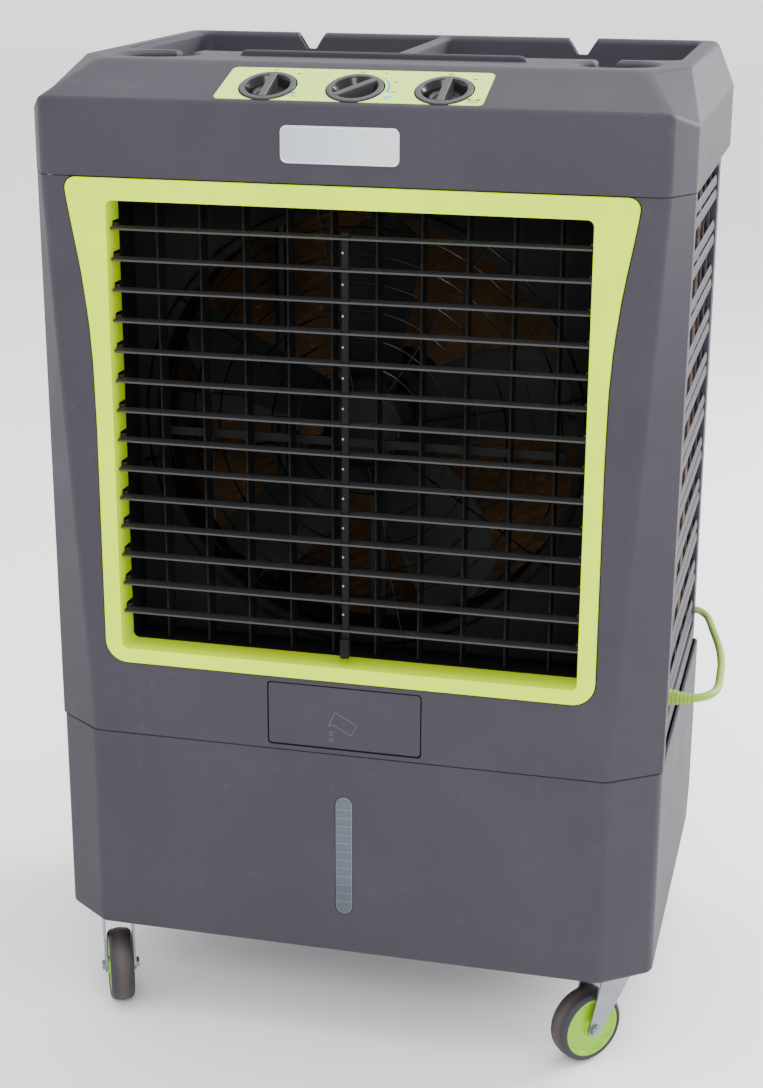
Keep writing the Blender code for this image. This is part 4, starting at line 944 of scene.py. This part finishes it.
class COOLER_OT_controls(Build):
    """Control label, printed marks and the three knobs"""
    bl_idname = "cooler.controls"
    bl_label = "Controls"

    def label(self):
        """Thin plate on the slope with a round hole for each knob."""
        outline = rounded([(-120.5, -25.4), (122.2, -25.4), (123.5, 34.5), (-117, 34.5)], (5, 5, 6, 6), 6)
        holes = [less(drill(KNOB_R + 1.2, 3, 72), metres(x, 0, 0)) for _, x, _ in KNOBS]
        return carved(plate(outline, 0.05, sizes().label / MM), holes)

    def printed(self, outlines):
        """Ink a twentieth of a millimetre thick: each outline raised from the label's face."""
        base = sizes().label / MM
        return gathered([plate(outline, base - 0.1, base + 0.06) for outline in outlines])

    def bar(self, x, y, length, width, turn=0.0):
        """Short printed stroke centred on x, y."""
        a, h, w = math.radians(turn), length / 2, width * 0.9
        corners = np.array([(-h, -w), (h, -w), (h, w), (-h, w)])
        return corners @ np.array([(math.cos(a), math.sin(a)), (-math.sin(a), math.cos(a))]) + (x, y)

    def band(self, x, y, start, end, inner, widths):
        """Arc band about x, y whose width runs between two values."""
        a = np.radians(np.linspace(start, end, 24))
        outer = inner + np.linspace(*widths, 24)
        rim = np.stack([np.cos(a), np.sin(a)], -1)
        return np.concatenate([rim * outer[:, None], (rim * inner)[::-1]]) + (x, y)

    def prints(self):
        """Dark strokes and arrows, and in blue the drop, the speed wedge and the rotor."""
        dark, blue = [], []
        dark += [self.bar(x, 30.2, 5.5, 0.9) for _, x, _ in KNOBS]
        dark += [self.bar(-53, 24.3, 4.5, 0.8), self.bar(107.5, 21.8, 4.5, 0.8)]
        for turn, length in ((52, 2.4), (20, 3.4), (-10, 4.4)):
            a = math.radians(turn)
            dark.append(self.bar(4 + 35.4 * math.cos(a), 1 + 35.4 * math.sin(a), length, 1.0))
        t = np.linspace(0, 2 * math.pi, 28, endpoint=False)
        blue.append(np.stack([-49.3 + 2.2 * np.sin(t) * (1 - 0.35 * np.cos(t)), -12.0 + 2.9 * np.cos(t)], -1))
        dark.append(self.bar(-49.3, -17.6, 8.5, 0.6))
        blue.append(self.band(4, 1, -13, 50, 28.6, (3.2, 0.5)))
        lobe = np.stack([2.2 + 1.9 * np.cos(t), 1.1 * np.sin(t)], -1)
        for k in range(3):
            c, d = math.cos(2.094 * k + 0.5), math.sin(2.094 * k + 0.5)
            blue.append(lobe @ np.array([(c, d), (-d, c)]) + (36.0, -15.2))
        tip = np.array([(6.6, 0.4), (2.8, 3.0), (3.4, 0.9), (0.4, 0.1), (0.4, -1.1), (3.2, -0.5), (2.6, -1.8)])
        dark += [tip * (side, 1) + (112.8, -16.0) for side in SIDES]
        dark.append(self.bar(112.8, -20.0, 10, 0.6))
        return dark, blue

    def execute(self, context):
        base = slope_matrix(0, KNOB_Y)
        mesh = self.label()
        mesh.transform(base)
        film = finish_of("label_film", moulded, tuple(colours().label), 0.36, 0.03, 0.0, 0.1)
        piece("control_label", mesh, film, HOUSING, angle=40)
        dark, blue = self.prints()
        for name, outlines, rgb in (("dark_print", dark, colours().print_dark),
                                    ("blue_print", blue, colours().print_blue)):
            ink = finish_of(name, moulded, tuple(rgb), 0.4, 0.03)
            piece(f"label_{name}", self.printed(outlines), ink, HOUSING, matrix=base, weighted=False)
        dial = finish_of("knob_plastic", moulded, tuple(colours().knob), 0.36, 0.1, 0.02, 0.1)
        # The bowl takes a fifth of the knob colour: painted shade in the recessed dish, under a glossier
        # finish.
        shaded_gloss = finish_of("knob_bowl_gloss", moulded, shade(tuple(colours().knob), 0.2), 0.2, 0.02, 0.0,
                          0.12, 0.2)
        r = KNOB_R
        ring = rounded([(r - 5.2, -9.5), (r - 5.0, 1.9), (r, 1.9), (r, -9.0), (r - 2, -11.0),
                        (r - 5.2, -11.0)], (0.4, 1.0, 1.3, 0.6, 0.6, 0.4), 6)
        dish = rounded([(0, -7.6), (r - 11.5, -7.2), (r - 5.6, 0.9), (r - 5.1, 0.9), (r - 5.1, -9.8),
                        (0, -10.6)], (0, 5.5, 0.3, 0.3, 0.6, 0), 7, closed=False)
        grip = [plan(rounded(box_corners(-w, w, -e, e), 1.4, 4), z)
                for w, e, z in ((5.6, r - 9, -8.0), (4.2, r - 5.4, -2.5), (3.5, r - 3.4, 1.6),
                                (3.0, r - 3.9, 2.3), (1.2, r - 5.7, 2.35))]
        for name, x, turn in KNOBS:
            place = slope_matrix(x, KNOB_Y, turn)
            piece(f"{name}_dial", lathe(ring, 80), dial, name, (name,), place)
            piece(f"{name}_bowl", lathe(dish, 80), shaded_gloss, name, matrix=place)
            piece(f"{name}_grip", grid(np.stack(grip)), dial, name, matrix=place)
        return {"FINISHED"}


class COOLER_OT_running_gear(Build):
    """Castor tyres and hubs"""
    bl_idname = "cooler.running_gear"
    bl_label = "Castors"

    def turned(self, half):
        """The other side of a wheel's section: its first half, mirrored and read backwards."""
        return [(a, -b) for a, b in half[::-1]]

    def execute(self, context):
        w, r = WHEEL_HALF, WHEEL_R
        tread = [(r - 7, w - 1.5), (r - 5.4, w), (r - 1.6, w - 2.6)]
        hub = [(4.2, w + 0.5), (8.5, w + 0.5), (9.5, w - 3.5), (r - 12, w - 4.5), (r - 9.5, w - 1.6),
               (r - 6.3, w - 1.6)]
        tread = rounded([*tread, (r, 0), *self.turned(tread)], (0.5, 2.2, 5, 16, 5, 2.2, 0.5), 8)
        soft = (0.4, 0.8, 1.5, 3, 1.2, 0.3)
        hub = rounded([*hub, *self.turned(hub)], soft + soft[::-1], 4)
        tyre = finish_of("tyre_rubber", rubber, tuple(colours().tyre))
        disc = finish_of("hub_plastic", moulded, tuple(colours().hub), 0.3, 0.05, 0.03, 0.2, 0.3)
        for name, x, y, heading in CASTORS:
            turn = Matrix.Rotation(math.radians(heading), 4, "Z")
            centre = turn @ Vector((TRAIL, 0, 0)) + Vector((x, y, WHEEL_R))
            axle = metres(*centre, turn @ Matrix.Rotation(math.pi / 2, 4, "X"))
            node = f"castor_wheel_{name}"
            mesh = mesh_of("tyre", *lathe(tread, 96))
            across = np.array([v.co.z for v in mesh.vertices]) / MM
            band = mesh.attributes.new("crown", "FLOAT", "POINT")
            band.data.foreach_set("value", np.exp(-(across / 5.0) ** 4))
            mesh.transform(axle)
            piece(f"{node}_tyre", mesh, tyre, node, (node,))
            piece(f"{node}_hub", lathe(hub, 96), disc, node, matrix=axle)
        return {"FINISHED"}


class COOLER_OT_slats(Build):
    """Tilting slats, their link bar and its rivets"""
    bl_idname = "cooler.slats"
    bl_label = "Slats"

    def slat(self):
        """One slat at its pivot: a beaded blade carried across, with a pin at each end.

        Behind its crest the blade falls as a parabola and then straight, out of sight from above the front.
        """
        a = np.linspace(0, 2 * math.pi, 48, endpoint=False)
        depth = BLADE_MIDDLE - BLADE_REACH * np.cos(a)
        nose = 0.5 * np.exp(-((depth + 12.8) / 1.2) ** 2)
        thick = (0.9 + nose) * boxy_sine(a, 0.35)
        fall = -0.04 * np.clip(depth + 7, 0, 8) ** 2 - 0.64 * np.clip(depth - 1, 0, None)
        half = np.concatenate([np.linspace(0, BLADE_HALF - 1.5, 23), [BLADE_HALF - 0.5, BLADE_HALF]])
        x = np.concatenate([-half[::-1], half[1:]])
        draw = np.where(np.abs(x) > BLADE_HALF - 0.3, 0.94, 1.0)[:, None]
        points = np.stack(np.broadcast_arrays(x[:, None], depth * draw, (thick + fall) * draw), -1)
        pins = [tube([(side * 218, 0, -0.3), (side * 225, 0, -0.3)], 1.9, 14) for side in SIDES]
        return gathered([grid(points), *pins])

    def execute(self, context):
        tilt = Matrix.Rotation(math.radians(SLAT_TILT), 4, "X")
        blade = carved(self.slat(), [less(pillow((-4.3, -12.3, -5), (4.3, -6.0, 5), 0.5, 3))])
        # The slat's front bead turns lighter: a painted highlight along its lit front edge.
        dark = finish_of("slat_plastic", moulded, tuple(colours().louvre), 0.42, 0.1, 0.05,
                         nose=(-0.2102, -0.2093, (0.044, 0.0435, 0.047)))
        stud, faces = lathe(rounded([(0, 0.9), (1.2, 0.7), (1.3, -1.2), (0, -1.2)], (0, 0.6, 0.2, 0), 4,
                                    closed=False), 14)
        stud = np.stack([stud[:, 0] - 2.0, LINK_FRONT - stud[:, 2], stud[:, 1] - 15], -1)
        heights = [SLAT_TOP - SLAT_PITCH * i for i in range(SLATS)]
        for i, z in enumerate(heights, 1):
            mesh = blade.copy()
            mesh.transform(metres(0, SLAT_Y, z, tilt))
            piece(f"slat_{i:02d}_blade", mesh, dark, f"slat_{i:02d}", (f"slat_{i:02d}",))
        studs = [(stud + (0, 0, z), faces) for z in heights]
        bar = pillow((-3.3, LINK_FRONT, heights[-1] - 14), (3.3, LINK_FRONT + 3, heights[0] + 3), 0.7, 3)
        peg = pillow((-4.4, -213.4, heights[-1] - 29.5), (4.4, -204.6, heights[-1] - 10), 1.4, 4)
        black = finish_of("link_plastic", moulded, (0.008, 0.008, 0.0085), 0.6, 0.1, 0.02, 0.0, 0.08)
        piece("slat_link_bar", gathered([bar, peg]), black, "slat_link", ("slat_link",))
        piece("slat_link_rivets", gathered(studs), zinc_plate(), "slat_link")
        return {"FINISHED"}


class COOLER_OT_sides(Build):
    """Louvred side and rear panels"""
    bl_idname = "cooler.sides"
    bl_label = "Louvred panels"

    def panel(self, start, end, margin, outer):
        """Panel in u, outward, height: a frame carried round its opening, paired curved louvres and ribs.

        A louvre's section is a bowed strip, outer edge lower; its height dips as a parabola near the front end.
        """
        hole = rounded_rect(start + margin, end - 14, PANEL_BOTTOM + 20, PANEL_TOP - 14, 6)()
        rim = rounded_rect(start, end, PANEL_BOTTOM, PANEL_TOP, 2.5)()
        seat = hole + unit(rim - hole) * 2
        rows = [upright(line, outer - back) for line, back in
                ((rim, 0), (hole, 0), (hole, 9), (seat, 9), (seat, 3), (rim, 3))]
        frame_ring = grid(rounded(np.stack(rows), (1.2, 2.0, 0.4, 0.4, 1, 0.4), 4), wrap_rows=True)
        a, b = start + margin - 1.5, end - 12.5
        u = np.concatenate([np.linspace(a, a + 70, 16), np.linspace(a + 90, b, 6)])
        dip = -26 * np.clip(1 - (u - a) / 70, 0, 1) ** 2
        t = np.linspace(0, 2 * math.pi, 20, endpoint=False)
        along = -5.1 * np.cos(t)
        across = 0.8 * boxy_sine(t, 0.5) - 0.5 * (along / 5.1) ** 2
        c, d = math.cos(math.radians(LOUVRE_LEAN)), math.sin(math.radians(LOUVRE_LEAN))
        made = [frame_ring]
        for i in range(LOUVRES):
            for shift, depth in ((-8.4, -1.9), (6.2, -2.3)):
                height = LOUVRE_FIRST + LOUVRE_PITCH * i + shift + along * c + across * d
                out = outer + depth - along * d + across * c
                z = np.clip(height[None] + dip[:, None], PANEL_BOTTOM + 12, PANEL_TOP - 8)
                made.append(grid(np.stack(np.broadcast_arrays(u[:, None], out[None], z), -1)))
        for k in range(1, 5):
            x = a + (b - a) * k / 5
            made.append(pillow((x - 1, outer - 5.6, PANEL_BOTTOM + 15), (x + 1, outer - 2.9, PANEL_TOP - 10),
                               0.5, 2))
        return gathered(made)

    def execute(self, context):
        points, faces = self.panel(-160, 189.5, 38, 297)
        for node, side, steps in (("side_panel_right", 1, [less(drill(7.4, 12, 32), on_gland(294))]),
                                  ("side_panel_left", -1, [])):
            placed = np.stack([points[:, 1] * side, points[:, 0], points[:, 2]], -1)
            mesh = carved((placed, faces), steps)
            piece(f"{node}_louvres", mesh, body_plastic(), HOUSING, (node,), angle=30)
        rear = self.panel(-297, 297, 14, 197)
        piece("rear_panel_louvres", rear, body_plastic(), HOUSING, ("rear_panel",), angle=30)
        return {"FINISHED"}


class COOLER_OT_inside(Build):
    """Cooling pads, their posts, fan rotor and guard"""
    bl_idname = "cooler.inside"
    bl_label = "Pads and fan"

    def pad(self, lo, hi, thin_axis):
        """Pad with slanted flutes: its two broad faces wave as a sine of height plus half the width."""
        wide = 1 - thin_axis
        u = np.linspace(lo[wide], hi[wide], max(2, int((hi[wide] - lo[wide]) / 2.6)))
        v = np.linspace(lo[2], hi[2], int((hi[2] - lo[2]) / 2.6))
        uu, vv = np.meshgrid(u, v, indexing="ij")
        edge = np.minimum(np.minimum(uu - lo[wide], hi[wide] - uu), np.minimum(vv - lo[2], hi[2] - vv))
        depth = 2.6 * np.clip(edge / 6, 0, 1)
        points = []
        for sign in (-1, 1):
            wave = depth * (0.5 + 0.5 * np.sin(2 * math.pi * (vv + sign * 0.55 * uu) / 13.0))
            across = (lo[thin_axis] + wave) if sign < 0 else (hi[thin_axis] - wave)
            p = np.zeros(uu.shape + (3,))
            p[..., wide], p[..., 2], p[..., thin_axis] = uu, vv, across
            points.append(p.reshape(-1, 3))
        n, m = uu.shape
        i, j = np.meshgrid(np.arange(n - 1), np.arange(m - 1), indexing="ij")
        a = i * m + j
        quads = np.stack([a, a + m, a + m + 1, a + 1], -1).reshape(-1, 4)
        border = np.concatenate([np.arange(m), np.arange(1, n) * m + m - 1,
                                 (n - 1) * m + np.arange(m - 2, -1, -1), np.arange(n - 2, 0, -1) * m])
        other = np.roll(border, -1)
        sides = np.stack([border, other, other + n * m, border + n * m], -1)
        faces = np.concatenate([quads, quads[:, ::-1] + n * m, sides]).tolist()
        return np.concatenate(points), faces

    def guard(self):
        """Wire guard in front of the rotor: circles at even steps of radius on straight spokes."""
        t = np.linspace(0, 2 * math.pi, 73)
        wires = [tube(np.stack([r * np.cos(t), np.full_like(t, -149.2), FAN_Z + r * np.sin(t)], -1), 0.9, 6)
                 for r in (36, 62, 88, 114, 140, 166, 192, 214)]
        for k in range(8):
            c, d = math.cos(math.pi * k / 4 + 0.2), math.sin(math.pi * k / 4 + 0.2)
            ends = np.array([(r * c, -147.6, FAN_Z + r * d) for r in (34, 90, 150, 222)])
            wires.append(tube(ends, 1.1, 6))
        return gathered(wires)

    def blade(self, angle):
        """Fan blade: an aerofoil loop carried outward, its chord, sweep and pitch changing with radius."""
        t = np.linspace(0, 1, 22)[:, None]
        s = np.linspace(0, 2 * math.pi, 40, endpoint=False)[None, :]
        radius = HUB_R - 6 + (FAN_R - HUB_R + 6) * t
        tip = np.where(t > 0.86, np.sqrt(np.clip(1 - ((t - 0.86) / 0.145) ** 2, 0, 1)), 1)
        chord = (58 + 34 * np.sin(math.pi * (0.12 + 0.62 * t))) * tip
        pitch = np.radians(38 - 15 * t)
        along, thick = 0.5 * np.cos(s) * chord, (1.9 - 0.9 * t) * np.sin(s)
        camber = 6.5 * (1 - (2 * along / np.maximum(chord, 1)) ** 2) * (1 - 0.3 * t)
        x, y = along + 9 * np.sin(math.pi * t), thick + camber
        turn = (x * np.cos(pitch) - y * np.sin(pitch)) / radius + angle
        axial = x * np.sin(pitch) + y * np.cos(pitch)
        return grid(np.stack([radius * np.cos(turn), axial - 3, radius * np.sin(turn)], -1))

    def execute(self, context):
        paper = finish_of("pad_cellulose", fluted_pad, tuple(colours().pad))
        for node, thin in (("pad_left", 0), ("pad_right", 0), ("pad_rear", 1)):
            lo, hi = np.array(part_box(node)) / MM
            piece(f"{node}_flutes", self.pad(lo, hi, thin), paper, HOUSING, (node,), weighted=False)
        posts = [pillow((side * 272 - 17, 149, 313), (side * 272 + 17, 190, 853), 3, 4) for side in SIDES]
        posts += [pillow((side * 280 - 9, -152, 313), (side * 280 + 9, -136, 853), 2, 3) for side in SIDES]
        dull = finish_of("post_plastic", moulded, (0.012, 0.011, 0.013), 0.6, 0.1, 0.0, 0.0, 0.1)
        piece("pad_posts", gathered(posts), dull, HOUSING)
        blades = [self.blade(math.radians(12) + 2 * math.pi * i / BLADES) for i in range(BLADES)]
        hub = rounded([(0, 22), (HUB_R - 12, 20), (HUB_R, 8), (HUB_R, -19), (HUB_R - 4, -20), (0, -20)],
                      (0, 8, 9, 1.5, 1, 0), 6, closed=False)
        points, faces = lathe(hub, 64)
        rotor = gathered([(np.stack([points[:, 0], -points[:, 2], points[:, 1]], -1), faces), *blades])
        # near-black rotor colour: painted shade of the interior
        black = finish_of("fan_plastic", moulded, (0.009, 0.009, 0.0096), 0.5, 0.1, 0.03, 0.0, 0.12)
        piece("fan_rotor", rotor, black, "fan", ("fan",), metres(0, FAN_Y, FAN_Z), weighted=False)
        # near-black wire colour: painted shade of the interior, which leaves only a few glints
        wire = finish_of("guard_wire", satin_metal, (0.016, 0.016, 0.017), 0.28)
        piece("fan_guard", self.guard(), wire, HOUSING, weighted=False)
        return {"FINISHED"}


class COOLER_OT_carried(Build):
    """Materials of the CAD pieces that stay"""
    bl_idname = "cooler.carried"
    bl_label = "Carried-over pieces"

    def execute(self, context):
        # The pipe and the motor sit in the shade inside the body: their near-black colours are painted shade.
        pipe = finish_of("pipe_plastic", moulded, (0.022, 0.022, 0.023), 0.45, 0.05, 0.1)
        can = finish_of("motor_paint", moulded, (0.010, 0.010, 0.011), 0.45, 0.1, 0.05, 0.0, 0.12)
        bob = finish_of("float_plastic", moulded, (0.75, 0.28, 0.06), 0.4, 0.08)
        special = {"water_pipe": pipe, "fan_motor": can, "float_arm": bob}
        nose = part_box("vane_01")[0][1]
        for name, node in NODES.items():
            if name in special:
                finish = special[name]
            elif name.startswith("castor_fork"):
                finish = zinc_plate()
            elif name == "fan_shroud":
                # near-black shroud colour: painted shade of the interior
                finish = finish_of("shroud_plastic", moulded, (0.009, 0.009, 0.0096), 0.75, 0.1, 0.01, 0.0,
                                   0.06)
            elif name.startswith("vane"):
                # The vane's front edge turns lighter: a painted highlight along its lit edge.
                finish = finish_of("vane_plastic", moulded, (0.013, 0.013, 0.0137), 0.5, 0.1, 0.03, 0.0, 0.1,
                                   nose=(nose + 0.0006, nose + 0.0017, (0.028, 0.028, 0.030)))
            elif name.startswith(("slat", "pump", "drain_plug")):
                finish = louvre_plastic()
            else:
                continue
            node.data.materials[0] = finish
        return {"FINISHED"}


class COOLER_PT_sidebar(bpy.types.Panel):
    """Lists the building steps and the sizes and colours behind them"""
    bl_idname = "COOLER_PT_sidebar"
    bl_label = "Evaporative Cooler"
    bl_space_type = "VIEW_3D"
    bl_region_type = "UI"
    bl_category = "Cooler"

    def draw(self, context):
        for group in (context.scene.cooler_sizes, context.scene.cooler_colours):
            box = self.layout.box()
            for key in group.__annotations__:
                box.prop(group, key)
        for step in STEPS:
            self.layout.operator(step.bl_idname)


STEPS = (COOLER_OT_stage, COOLER_OT_lead, COOLER_OT_cap, COOLER_OT_shell, COOLER_OT_bezel, COOLER_OT_controls,
         COOLER_OT_running_gear, COOLER_OT_slats, COOLER_OT_sides, COOLER_OT_inside, COOLER_OT_carried)
CLASSES = (CoolerSizes, CoolerColours, *STEPS, COOLER_PT_sidebar)


def register():
    for cls in CLASSES:
        bpy.utils.register_class(cls)
    bpy.types.Scene.cooler_sizes = bpy.props.PointerProperty(type=CoolerSizes)
    bpy.types.Scene.cooler_colours = bpy.props.PointerProperty(type=CoolerColours)


def unregister():
    del bpy.types.Scene.cooler_colours
    del bpy.types.Scene.cooler_sizes
    for cls in reversed(CLASSES):
        bpy.utils.unregister_class(cls)


def main():
    register()
    for step in STEPS:
        group, name = step.bl_idname.split(".")
        getattr(getattr(bpy.ops, group), name)()


if __name__ == "__main__":
    main()
